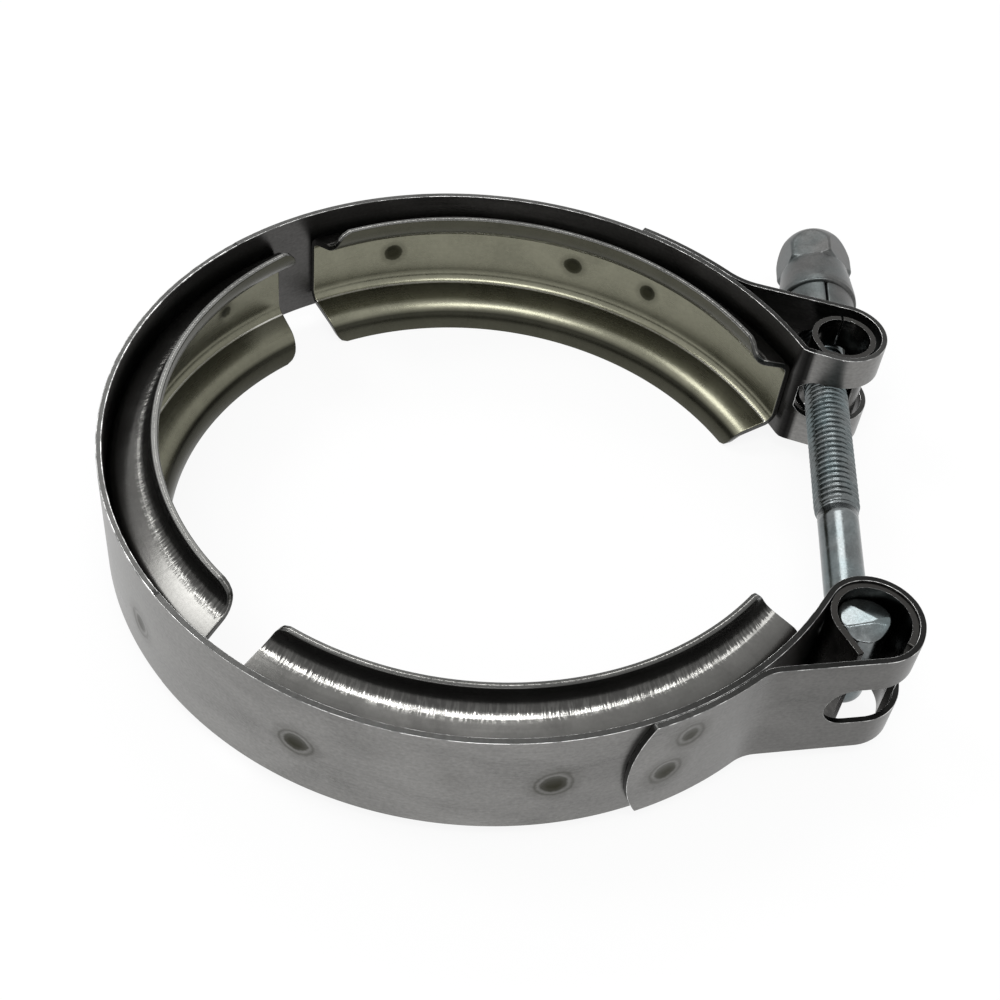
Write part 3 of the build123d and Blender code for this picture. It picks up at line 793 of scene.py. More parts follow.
class Courses:
    """The plan-view courses that the strap and its rolled parts follow."""

    def __init__(self, strap, loops):
        self.middle = strap.outer_radius - strap.thickness / 2
        self.fold = strap.outer_radius + strap.fold_gap + strap.thickness / 2
        self.near_centre = polar(self.middle + loops.near_radius + loops.near_clearance, loops.near_azimuth)
        self.far_centre = polar(self.middle + loops.far_radius + loops.far_clearance, loops.far_azimuth)
        self.inset = strap.thickness / 2 + loops.roll_gap + loops.roll_sheet / 2

    def near(self, loops, start):
        """From azimuth start round the ring to the near loop, through it and back to the tab."""
        cross = degrees(acos((self.middle + loops.near_radius) / hypot(*self.near_centre)))
        leave = loops.near_azimuth - cross
        course = Course(polar(self.middle, start), start + 90)
        course.arc(self.middle, (leave - start) % 360)
        enter = self.near_centre - polar(loops.near_radius, leave)
        self.near_cross = course.total
        course.line_to(enter)
        course.arc(loops.near_radius, -((course.heading + 180) % 360 - 180))
        self.near_top = course.point
        self.near_top_at = course.total
        self.near_side_at = course.total + loops.near_wide_radius * pi / 2
        course.arc(loops.near_wide_radius, loops.near_heading)
        course.line(loops.near_drop)
        course.arc(loops.near_corner, loops.near_leg_heading - 360 - loops.near_heading)
        centre = blend_centre(self.fold, loops.near_blend, course.point, loops.near_leg_heading, 1)
        end = centre - polar(loops.near_blend, loops.near_leg_heading + 90)
        course.line_to(end)
        fold_azimuth = degrees(atan2(centre[1], centre[0]))
        course.arc(loops.near_blend, fold_azimuth + 270 - loops.near_leg_heading)
        self.near_tab = course.total
        course.arc(self.fold, loops.near_tab_end - fold_azimuth)
        return course

    def far(self, loops, start):
        """From azimuth start back round the ring to the far loop, through it and back to the tab."""
        entry = side_point(self.far_centre, loops.far_radius, loops.far_entry_heading, 1)
        corner = blend_centre(self.middle, loops.far_corner, entry, loops.far_entry_heading + 180, -1)
        leave = degrees(atan2(corner[1], corner[0]))
        course = Course(polar(self.middle, start), start - 90)
        course.arc(self.middle, leave - start)
        course.arc(loops.far_corner, loops.far_entry_heading - (leave - 90))
        self.far_line_at = course.total
        course.line_to(entry)
        self.far_side_at = course.total + loops.far_radius * radians(90 - loops.far_entry_heading)
        course.arc(loops.far_radius, loops.far_leg_heading - loops.far_entry_heading)
        self.far_exit = course.point
        centre = blend_centre(self.fold, loops.far_blend, course.point, loops.far_leg_heading, -1)
        end = centre + polar(loops.far_blend, loops.far_leg_heading + 90)
        course.line_to(end)
        fold_azimuth = degrees(atan2(centre[1], centre[0]))
        course.arc(loops.far_blend, fold_azimuth + 90 - loops.far_leg_heading)
        self.far_tab = course.total
        course.arc(self.fold, loops.far_tab_end - fold_azimuth)
        return course

    def saddle(self, loops):
        """From the tip of the saddle's tail over the top of the near loop to its turned-in end."""
        radius = loops.near_radius - self.inset
        heading = loops.saddle_tail_heading
        tail_top = side_point(self.near_centre, radius, heading, -1)
        course = Course(tail_top - polar(loops.saddle_tail, heading), heading)
        course.line(loops.saddle_tail)
        self.saddle_left_at = course.total + radius * radians(heading - 90)
        course.arc(radius, -heading)
        self.saddle_top_at = course.total
        course.arc(loops.near_wide_radius - self.inset, loops.near_heading)
        course.line(loops.saddle_drop)
        course.arc(loops.near_corner - self.inset, -loops.saddle_end_turn)
        return course

    def trunnion(self, loops):
        """Round the trunnion from its seam on top, by its fold near the ring, and back to the seam."""
        radius = loops.trunnion_radius
        self.trunnion_centre = self.far_centre - (0, loops.far_radius - self.inset - loops.roll_gap - radius)
        entry = side_point(self.far_centre, loops.far_radius, loops.far_entry_heading, 1)
        floor = entry - polar(entry[0] - self.far_centre[0] + loops.trunnion_tail, loops.far_entry_heading)
        tail = floor + polar(self.inset + loops.trunnion_tail_gap, loops.far_entry_heading + 90)
        reach = tail - self.trunnion_centre
        distance = hypot(*reach)
        azimuth = degrees(atan2(reach[1], reach[0]))
        spread = degrees(acos(radius / distance))
        fold = 2 * (90 - spread) - 180
        bend = 0.7 * MM
        half_seam = degrees(loops.seam / 2 / radius)
        side = sqrt(distance**2 - radius**2) - bend * tan(radians(-fold / 2))
        course = Course(self.trunnion_centre + polar(radius, 90 + half_seam), 180 + half_seam)
        course.arc(radius, (azimuth - spread - 90 - half_seam) % 360)
        course.line(side)
        course.arc(bend, -fold)
        course.line(side)
        front = azimuth + spread
        self.trunnion_side_at = course.total + radius * radians(-front)
        course.arc(radius, 90 - half_seam - front)
        return course


def dish(corners, welds, radius, depth):
    """How deep each point lies in the dimples of welds, and how near it is to the nearest weld.

    Each weld is (distance, height, how strongly it shows); nearness is 0 at a strong weld and 1 away from it.
    """
    dents = np.zeros(len(corners))
    nearness = np.ones(len(corners))
    for along, height, strength in welds:
        reach = np.hypot(corners[:, 0] - along, corners[:, 1] - height) / radius
        dents += strength**2 * depth * np.clip(1 - reach**2, 0, 1) ** 1.2
        nearness = np.minimum(nearness, 1 - strength * (1 - np.clip(reach / 2.0, 0, 1)))
    return dents, nearness


def rings_mesh(name, rings, closed=False):
    """A solid through rings of points: capped at both ends, or joined end to end when closed."""
    count, around = rings.shape[:2]
    index = np.arange(count * around).reshape(count, around)
    after = np.roll(index, -1, 1)
    last = index if closed else index[:-1]
    up = np.roll(index, -1, 0) if closed else index[1:]
    up_after = np.roll(after, -1, 0) if closed else after[1:]
    sides = np.stack([last, after[: len(last)], up_after, up], -1).reshape(-1, 4).tolist()
    caps = [] if closed else [index[0, ::-1].tolist(), index[-1].tolist()]
    return mesh_of(name, rings.reshape(-1, 3), sides + caps)


def circle_angles(around):
    return np.linspace(0, 2 * pi, around, endpoint=False)


def polar_ring(radii, angles, height):
    """A ring of points round Z at this height."""
    return np.stack([radii * np.cos(angles), radii * np.sin(angles), np.full(len(angles), height)], -1)


# ------------------------------------------------------------------ the pieces
class CLAMP_OT_strap(Operator):
    """Builds the strap as three lengths that meet inside the rigid middle"""

    bl_idname = "clamp.strap"
    bl_label = "Strap"

    SEAM_AZIMUTHS = (225.0, 143.0)
    # Azimuth, height from the strap's middle in millimetres, and how strongly the weld shows.
    LEFT_WELDS = ((147, 0, 0.9), (171, 0, 0.9), (195, 0, 0.9), (219.8, -2.0, 0.9))
    NEAR_WELDS = ((250.9, 0, 1.0), (272, 1.5, 0.3), (286.1, 0, 1.0))
    NEAR_TAB_WELDS = ((-55.7, 5.9, 0.85), (-58.2, -1.7, 0.95))
    FAR_WELDS = ((112.4, 0, 0.9), (95, 0, 0.8), (78.6, 0, 0.9))
    FAR_TAB_WELDS = ((61.5, 4.5, 0.7), (63.5, -4.5, 0.7))

    def execute(self, context):
        clamp = context.scene.clamp
        strap, loops = clamp.strap, clamp.loops
        courses = Courses(strap, loops)
        materials = (satin_strap(strap), edge_highlight_and_wear(strap))
        near_seam, far_seam = self.SEAM_AZIMUTHS
        middle = (strap.low + strap.high) / 2
        back_length = courses.middle * radians(near_seam - far_seam)

        def places(welds, radius, turn, start, begun=0.0):
            """Welds as (distance, height, strength) on a strip that is at distance begun at azimuth start."""
            return [(begun + turn * radius * radians(azimuth - start), middle + height * MM, strength)
                    for azimuth, height, strength in welds]

        def slot(course, y, reach, *stretches):
            """A slot that reaches this far from the bolt, with one round end on each of two stretches."""
            edge = bolt_x(y) - reach
            return tuple(round_end(course, edge, 1, strap.slot_half, low, high) for low, high in stretches)

        def sides(turn):
            """How far inside a strip's two faces lie as stops, where they change places at distance turn."""
            return ((turn, 1.0), (turn + MM, 0.0)), ((turn, 0.0), (turn + MM, 1.0))

        def add(name, course, node, slots, trim, left, right, seams, along, light_and_shade_stops):
            """left and right hold each face's welds and stops, along the UV map's start and direction."""
            corners, quads = strip_grid(course, strap.low, strap.high, strap.grain, slots, strap.slot_half,
                                        trim)
            dents, nearness, inner = [], [], []
            for welds, stops in (left, right):
                dent, near = dish(corners, welds, strap.weld_radius, strap.weld_depth)
                dents.append(dent)
                nearness.append(near)
                inner.append(np.interp(corners[:, 0], *zip(*stops)))
            start, direction = along
            uv = np.column_stack([start + direction * corners[:, 0], corners[:, 1]])
            mesh = lay_strip(name, course, corners, quads, strap.thickness, *dents, seams, uv)
            paint_faces(mesh, "weld", *nearness[::-1])
            paint_faces(mesh, "inner", *inner[::-1])
            # Painted light and shade along the strip, the same on both faces.
            light_and_shade = np.interp(corners[:, 0], *zip(*light_and_shade_stops))
            paint_faces(mesh, "light_and_shade", light_and_shade, light_and_shade)
            piece = soften(object_of(mesh, *materials), strap.edge)
            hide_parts(node)
            return piece

        def tab_trim(course):
            return lambda heights: course.total - strap.tab_round + np.sqrt(strap.tab_round**2 - heights**2)

        near = courses.near(loops, near_seam)
        open_slot = slot(near, courses.near_top[1], strap.near_slot_reach,
                         (courses.near_cross, courses.near_top_at), (courses.near_side_at, courses.near_tab))
        leaving, entering = sides(courses.near_cross)
        tab_welds = places(self.NEAR_TAB_WELDS, courses.fold, -1, loops.near_tab_end, near.total)
        ring_welds = places(self.NEAR_WELDS, courses.middle, 1, near_seam)
        near_piece = add("strap_near", near, "band_near_arc", [open_slot], tab_trim(near),
                         (tab_welds, leaving), (ring_welds, entering), [0.0], (back_length, 1),
                         self.near_shade_stops(near, courses))

        far = courses.far(loops, far_seam)
        open_slot = slot(far, courses.far_exit[1], strap.far_slot_reach,
                         (courses.far_line_at, courses.far_side_at), (courses.far_side_at, courses.far_tab))
        leaving, entering = sides(courses.far_line_at)
        tab_welds = places(self.FAR_TAB_WELDS, courses.fold, 1, loops.far_tab_end, far.total)
        ring_welds = places(self.FAR_WELDS, courses.middle, -1, far_seam)
        far_piece = add("strap_far", far, "band_far_arc", [open_slot], tab_trim(far),
                        (ring_welds, entering), (tab_welds, leaving), [0.0], (0.0, -1),
                        self.far_light_and_shade_stops(far, courses))

        back = Course(polar(courses.middle, far_seam), far_seam + 90)
        back.arc(courses.middle, near_seam - far_seam)
        back_welds = places(self.LEFT_WELDS, courses.middle, 1, far_seam)
        back_piece = add("strap_back", back, "band_left_arc", [], None, ([], ((0.0, 1.0),)),
                         (back_welds, ((0.0, 0.0),)), [0.0, back.total], (0.0, 1), ((0.0, 1.0),))
        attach(back_piece, "clamp_back")

        for piece, body, name, turn in ((near_piece, "near_arm", "near_arm_flex", 1),
                                        (far_piece, "far_arm", "far_arm_flex", -1)):
            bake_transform(piece)
        return {"FINISHED"}

    # Painted light and shade along the strap: 1 on the plain ring, 0 in the shaded loops, -1 where shadow makes it
    # black, and a lit stretch on the far loop's front.
    @staticmethod
    def near_shade_stops(course, courses):
        turn = courses.near_cross
        return ((0.0, 1.0), (0.5 * turn, 1.0), (0.75 * turn, 0.4), (turn, 0.0),
                (courses.near_tab - 14 * MM, 0.0), (course.total, 0.8))

    @staticmethod
    def far_light_and_shade_stops(course, courses):
        turn = courses.far_line_at
        return ((0.0, 1.0), (0.6 * turn, 0.8), (turn - 2 * MM, 0.0), (turn - 0.5 * MM, -0.9),
                (turn + 0.7 * MM, -0.9), (turn + 1.5 * MM, 1.0), (courses.far_side_at, 0.5),
                (courses.far_tab, 0.0), (course.total, 0.8))


class CLAMP_OT_retainers(Operator):
    """Builds the three rolled retainers with their V groove, sloped ends and rolling ripples"""

    bl_idname = "clamp.retainers"
    bl_label = "Retainers"

    # Painted shade for each one as a whole, and how bright the painted highlight line along its bends is.
    PAINTED_SHADE = {"far": 1.0, "left": 0.8, "near": 1.0}
    LINE_HIGHLIGHT = {"far": 0.8, "left": 0.35, "near": 1.0}
    # Azimuth, height from the middle of the groove in millimetres, and how strongly the weld shows.
    WELDS = {
        "far": ((112.4, 0.3, 1.0), (78.6, 0.3, 1.0), (63.6, 0.3, 1.0)),
        "left": ((147, -0.4, 0.8), (171, -0.4, 0.8), (195, -0.4, 0.8), (219.5, -0.4, 0.8)),
        "near": ((251, -0.4, 0.8), (286, -0.4, 0.8), (303, -0.4, 0.8)),
    }
    # A weld's dimple against one in the strap, how far ripples reach from a bend, and the border's width.
    DIMPLE_RADIUS = 0.78
    DIMPLE_DEPTH = 1.3
    RIPPLE_REACH = 1.1 * MM
    BORDER_WIDTH = 10 * MM

    def execute(self, context):
        settings = context.scene.clamp.retainer
        strap = context.scene.clamp.strap
        half_notch = settings.notch / 2
        spans = {
            "near": (NEAR_HINGE + half_notch, 360 - settings.gap_half, "near_arm"),
            "left": (FAR_HINGE + half_notch, NEAR_HINGE - half_notch, "clamp_back"),
            "far": (settings.gap_half, FAR_HINGE - half_notch, "far_arm"),
        }
        for number, (side, (start, end, body)) in enumerate(spans.items()):
            mesh = self.section_mesh(side + "_retainer", settings, strap, start, end, self.WELDS[side],
                                     self.PAINTED_SHADE[side], number)
            material = pressed_steel(settings, side + "_pressed_steel", self.LINE_HIGHLIGHT[side])
            piece = soften(object_of(mesh, material), settings.edge)
            seat(piece, body, "retainer_steel", "retainer_" + side)
        return {"FINISHED"}

    @staticmethod
    def profile(settings, strap):
        """The middle line of the section, as a course with x as radius and y as height."""
        root = strap.outer_radius - strap.thickness - settings.sheet / 2
        foot = settings.foot_radius + settings.sheet / 2
        slope = settings.flank_angle
        rise = (root - foot) * tan(radians(slope))
        foot_cut = settings.foot_bend * tan(radians(90 - slope) / 2)
        root_cut = settings.root_bend * tan(radians(90 - slope) / 2)
        foot_run = RETAINER_HIGH.z - settings.groove_half - rise - foot_cut
        flank_run = hypot(root - foot, rise) - foot_cut - root_cut
        course = Course((foot, RETAINER_LOW.z), 90)
        course.line(foot_run).arc(settings.foot_bend, slope - 90)
        course.line(flank_run).arc(settings.root_bend, 90 - slope)
        course.line(2 * (settings.groove_half - root_cut))
        course.arc(settings.root_bend, 90 - slope).line(flank_run)
        course.arc(settings.foot_bend, slope - 90).line(foot_run)
        return course

    def section_mesh(self, name, settings, strap, start, end, welds, brightness, seed):
        """The retainer from azimuth start to end, on the section that profile gives."""
        course = self.profile(settings, strap)
        mean_radius = strap.outer_radius - strap.thickness
        along = spaced(0, mean_radius * radians(end - start), settings.grain)
        # Rows lie close together at each crease, where a flank runs into the groove's root.
        crease = course.legs[3][0] + np.array([-0.15, 0.0, 0.2, 0.4]) * MM
        rows = (spaced(0, course.total, settings.grain), crease, course.total - crease)
        across = np.unique(np.concatenate(rows))
        u, v = lattice(along, across)
        flat, _ = course.at(across)
        setback = self.setback(settings, np.abs(flat[:, 1])) * mean_radius / flat[:, 0]
        span = 4 * settings.setback
        pull(u, 0.0, setback, span, 1)
        pull(u, along[-1], along[-1] - setback, span, -1)
        corners, quads = weld_patches([(u, v)])
        flat, headings = course.at(corners[:, 1])
        border = self.border(course, corners[:, 1])
        fade = np.exp(-((border / self.RIPPLE_REACH) ** 2))
        wave = settings.ripple * fade * self.ripples(corners, seed)
        azimuth = radians(start) + corners[:, 0] / mean_radius
        places = [(mean_radius * radians(a - start), course.total / 2 + height * MM, strength)
                  for a, height, strength in welds]
        dent, near = dish(corners, places, self.DIMPLE_RADIUS * strap.weld_radius,
                          self.DIMPLE_DEPTH * strap.weld_depth)
        outward = np.stack([np.sin(headings), -np.cos(headings)], -1)

        def face(offset):
            radius, height = (flat + outward * offset[:, None]).T
            return np.stack([radius * np.cos(azimuth), radius * np.sin(azimuth), height], -1)

        half = settings.sheet / 2
        mesh = sheet_mesh(name, corners, quads, face(half + wave), face(0.3 * wave - half + dent))
        none, full = np.zeros(len(near)), np.ones(len(near))
        paint_faces(mesh, "weld", full, near)
        paint_faces(mesh, "border", np.clip(0.5 + border / self.BORDER_WIDTH, 0, 1), full)
        paint_faces(mesh, "inner", none, full)
        # Painted light and shade across each face, scaled for the whole retainer by its painted shade.
        outer, inner = [brightness * self.light_and_shade_stops(course, corners[:, 1], inside) for inside in (False, True)]
        paint_faces(mesh, "light_and_shade", outer, inner)
        return mesh

    @staticmethod
    def light_and_shade_stops(course, distances, inside):
        """Painted light and shade of the outer or the inner face at distances across it, alike from both feet's
        tips, with a painted highlight on the foot's bend, and inside also a dark line on the foot's side of it and
        a bright line at the crease.
        """
        foot, bend, flank, bottom, root = [leg[0] for leg in course.legs[1:6]]
        stops = [(0, 0.35), (foot, 0.32), (bend - 1.2 * MM, 0.4), (bend + 0.2 * MM, 0.9),
                 ((bend + flank) / 2, 0.75), (flank, 0.55), (root, 0.4)]
        if inside:
            middle = (foot + bend) / 2
            stops = [(0, 0.33), (middle - 0.8 * MM, 0.27), (middle - 0.1 * MM, 0.06),
                     (middle + 0.6 * MM, 0.8), (bend, 1.1), (bend + 1.4 * MM, 0.7),
                     (flank - 0.15 * MM, 0.5), (flank, 3.0), (flank + 0.2 * MM, 3.0),
                     (flank + 0.4 * MM, 1.0), (bottom, 0.95)]
        from_tip = np.minimum(distances, course.total - distances)
        return np.interp(from_tip, *zip(*stops))

    @staticmethod
    def setback(settings, heights):
        """How far an end stops short at each height: a slope that rounds over at the foot's tip."""
        top = RETAINER_HIGH.z
        knee = 0.6 * top + 0.4 * settings.setback_start
        slope = settings.setback / 3 / (knee - settings.setback_start)
        sloped = slope * np.clip(heights - settings.setback_start, 0, None)
        share = np.clip((heights - knee) / (top - knee), 0, 1)
        rest = settings.setback - slope * (top - settings.setback_start)
        return sloped + rest * (1 - np.sqrt(1 - share**2))

    @staticmethod
    def border(course, distances):
        """How far each point lies beyond the line where a foot's bend ends, negative on the foot's side."""
        return np.minimum(distances, course.total - distances) - course.legs[2][0] + 0.3 * MM

    @staticmethod
    def ripples(corners, seed):
        """Uneven waves along the ring, as rolling leaves them, about 1 high."""
        draw = np.random.default_rng(seed)
        total = np.zeros(len(corners))
        for spacing in (2.6, 1.9, 1.4, 1.1):
            phase, skew = draw.uniform(0, 2 * pi, 2)
            swing = np.sin(corners[:, 1] * 400 + skew)
            total += np.sin(2 * pi * corners[:, 0] / (spacing * MM) + phase + swing)
        return total / 4


class CLAMP_OT_rolls(Operator):
    """Builds the rolled saddle of the near loop and the rolled trunnion of the far loop"""

    bl_idname = "clamp.rolls"
    bl_label = "Rolled saddle and trunnion"

    def execute(self, context):
        clamp = context.scene.clamp
        strap, loops = clamp.strap, clamp.loops
        courses = Courses(strap, loops)
        materials = (rolled_steel(loops), bpy.data.materials["edge_highlight_and_wear"])

        def roll(name, course, slots, body, node):
            corners, quads = strip_grid(course, strap.low + loops.roll_inset, strap.high - loops.roll_inset,
                                        strap.grain * 0.6, slots, strap.slot_half, warp=2 * MM)
            mesh = lay_strip(name, course, corners, quads, loops.roll_sheet)
            seat(soften(object_of(mesh, *materials), strap.edge), body, "saddle_steel", node)

        saddle = courses.saddle(loops)
        top = courses.saddle_top_at
        left = bolt_x(courses.near_centre[1] + loops.near_radius) - strap.near_slot_reach
        right = left + strap.near_slot_reach + loops.saddle_slot_reach
        side = top + (loops.near_wide_radius - courses.inset) * pi / 2
        slot = (round_end(saddle, left, 1, strap.slot_half, courses.saddle_left_at, top),
                round_end(saddle, right, -1, strap.slot_half, top, side))
        roll("saddle_roll", saddle, [slot], "near_arm", "loop_saddle")

        trunnion = courses.trunnion(loops)
        right = bolt_x(courses.trunnion_centre[1]) + clamp.bolt.thread_radius + loops.trunnion_play
        side = courses.trunnion_side_at
        quarter = loops.trunnion_radius * pi / 2
        slots = [(None, round_end(trunnion, right, -1, strap.slot_half, side - quarter * 0.9, side)),
                 (round_end(trunnion, right, -1, strap.slot_half, side, trunnion.total), None)]
        roll("trunnion_roll", trunnion, slots, "far_arm", "far_trunnion")
        return {"FINISHED"}


class CLAMP_OT_bolt(Operator):
    """Builds the T-bolt: a headed shank, and a rolled thread made by geometry nodes"""

    bl_idname = "clamp.bolt"
    bl_label = "T-bolt"

    def execute(self, context):
        settings = context.scene.clamp.bolt
        material = zinc_plate("bright_zinc", settings.zinc, roughness=0.22)
        head = object_of(self.head_mesh(settings), material)
        shank = object_of(self.shank_mesh(settings), material)
        thread = object_of(bpy.data.meshes.new("bolt_thread"), material)
        self.cut_thread(thread, settings, material)
        thread.data.transform(BOLT_FRAME)
        for piece in (head, shank, thread):
            seat(piece, "bolt", "zinc_bolt", "t_bolt")
        return {"FINISHED"}

    @staticmethod
    def head_mesh(settings):
        """A short upright bar with a ground front and a roughly sheared, faceted top."""
        lower_round, upper_round = settings.head_edge, settings.top_edge
        turn = np.linspace(0, pi / 2, 9)
        radius, half = settings.head_radius, settings.head_half
        lower = [(radius - lower_round * (1 - sin(t)), lower_round * (1 - cos(t)) - half) for t in turn]
        upper = [(radius - upper_round * (1 - cos(t)), half - upper_round * (1 - sin(t))) for t in turn]
        side = [(radius, z) for z in spaced(lower_round - half, half - upper_round, 0.3 * MM)[1:-1]]
        bottom = [(r, -half) for r in np.linspace(0.05 * MM, radius - lower_round, 8)[:-1]]
        top = [(r, half) for r in np.linspace(radius - upper_round, 0.05 * MM, 22)[1:]]
        profile = np.array(bottom + lower + side + upper + top)
        angles = circle_angles(120)
        across = profile[:, 0, None] * np.cos(angles)
        ahead = profile[:, 0, None] * np.sin(angles)
        height = np.repeat(profile[:, 1, None], len(angles), 1)
        # Four slanting facets meet at a peak beside the top's middle, and one is ground across its front.
        x, y = across / radius - 0.46, ahead / radius + 0.22
        facets = [0.05 * y - 0.176 * x, 0.284 * y, -0.27 * y, 0.12 * x, -0.75 * (y + 0.1)]
        drop = np.maximum.reduce(facets) * radius
        height -= drop * np.clip((height + 2 * MM - half) / (2 * MM), 0, 1)
        rings = np.stack([across, ahead, height], -1) @ np.array([BOLT_ASIDE, BOLT_AHEAD, (0, 0, 1)])
        return rings_mesh("bolt_head", rings + np.array(BOLT_HEAD))

    @staticmethod
    def shank_mesh(settings):
        """The plain shank, flared where it leaves the head."""
        flare = 0.9 * MM
        start = settings.head_radius * 0.6
        flared = settings.head_radius + 2 * MM
        along = np.concatenate([np.linspace(start, flared, 16),
                                np.linspace(flared, settings.shank_length, 12)[1:]])
        radii = settings.shank_radius + flare * np.exp(-((along - start) / (1.3 * MM)) ** 2)
        angles = circle_angles(64)
        rings = [polar_ring(radius, angles, distance) for radius, distance in zip(radii, along)]
        mesh = rings_mesh("bolt_shank", np.array(rings))
        mesh.transform(BOLT_FRAME)
        return mesh

    def cut_thread(self, piece, settings, material):
        """Runs the thread's tree with this bolt's sizes and bakes what it makes."""
        turns = (BOLT_END - settings.shank_length) / settings.thread_pitch
        tree = thread_tree(material, int(turns * settings.per_turn) + 2, settings.around + 1)
        modifier = piece.modifiers.new("thread", "NODES")
        modifier.node_group = tree
        sizes = {
            "Start": settings.shank_length, "End": BOLT_END, "Radius": settings.thread_radius,
            "Depth": settings.thread_depth, "Pitch": settings.thread_pitch, "Shank": settings.shank_radius,
            "Point": settings.point,
        }
        for item in tree.interface.items_tree:
            if item.name in sizes:
                modifier[item.identifier] = sizes[item.name]
        freeze(piece)


def thread_tree(material, along, around):
    """Geometry nodes that wind a grid into a threaded rod along Z, closed at both ends."""
    tree = bpy.data.node_groups.new("rolled_thread", "GeometryNodeTree")
    for name in ("Start", "End", "Radius", "Depth", "Pitch", "Shank", "Point"):
        tree.interface.new_socket(name, in_out="INPUT", socket_type="NodeSocketFloat")
    tree.interface.new_socket("Geometry", in_out="OUTPUT", socket_type="NodeSocketGeometry")
    thread = Nodes(tree)
    math = thread.math
    sizes = thread.node("NodeGroupInput").outputs
    grid = thread.node("GeometryNodeMeshGrid", along - 1, 2 * pi, along, around)
    place = thread.node("GeometryNodeInputPosition").outputs[0]
    x, turned, _ = thread.node("ShaderNodeSeparateXYZ", place).outputs
    step = math("ADD", x, (along - 1) / 2)

    # The first and last steps close the ends: they share the place of their neighbours and have no radius.
    distance = thread.fit(step, 1.0, along - 2.0, sizes["Start"], sizes["End"])
    is_open = math("MULTIPLY", math("GREATER_THAN", step, 0.5), math("LESS_THAN", step, along - 1.5))
    turns = math("SUBTRACT", math("DIVIDE", distance, sizes["Pitch"]), math("DIVIDE", turned, 2 * pi))
    ridge = math("ABSOLUTE", math("SUBTRACT", math("FRACT", turns), 0.5))
    groove = thread.fit(ridge, 0.1, 0.42, 1.0, 0.0, interpolation_type="SMOOTHSTEP")
    cut = math("SUBTRACT", sizes["Radius"], math("MULTIPLY", groove, sizes["Depth"]))
    run_in = math("MULTIPLY", sizes["Pitch"], 1.2)
    begun = thread.fit(math("SUBTRACT", distance, sizes["Start"]), 0.0, run_in, 0.0, 1.0)
    plain = math("MULTIPLY", sizes["Shank"], math("SUBTRACT", 1.0, begun))
    wound = math("ADD", math("MULTIPLY", cut, begun), plain)
    chamfer = math("SUBTRACT", sizes["Radius"], sizes["Point"])
    room = math("ADD", math("SUBTRACT", sizes["End"], distance), chamfer)
    radius = math("MULTIPLY", math("MINIMUM", wound, room), is_open)
    level = math("MULTIPLY", radius, math("COSINE", turned))
    down = math("MULTIPLY", radius, math("SINE", turned))
    point = thread.node("ShaderNodeCombineXYZ", level, down, distance).outputs[0]

    flow = grid.outputs["Mesh"]
    for kind, *inputs in (("GeometryNodeSetPosition", None, point),
                          ("GeometryNodeMergeByDistance", None, 0.001 * MM),
                          ("GeometryNodeFlipFaces",),
                          ("GeometryNodeSetShadeSmooth",),
                          ("GeometryNodeRealizeInstances",),
                          ("GeometryNodeSetMaterial", None, material)):
        flow = thread.node(kind, flow, *inputs).outputs[0]
    thread.node("NodeGroupOutput", flow)
    return tree


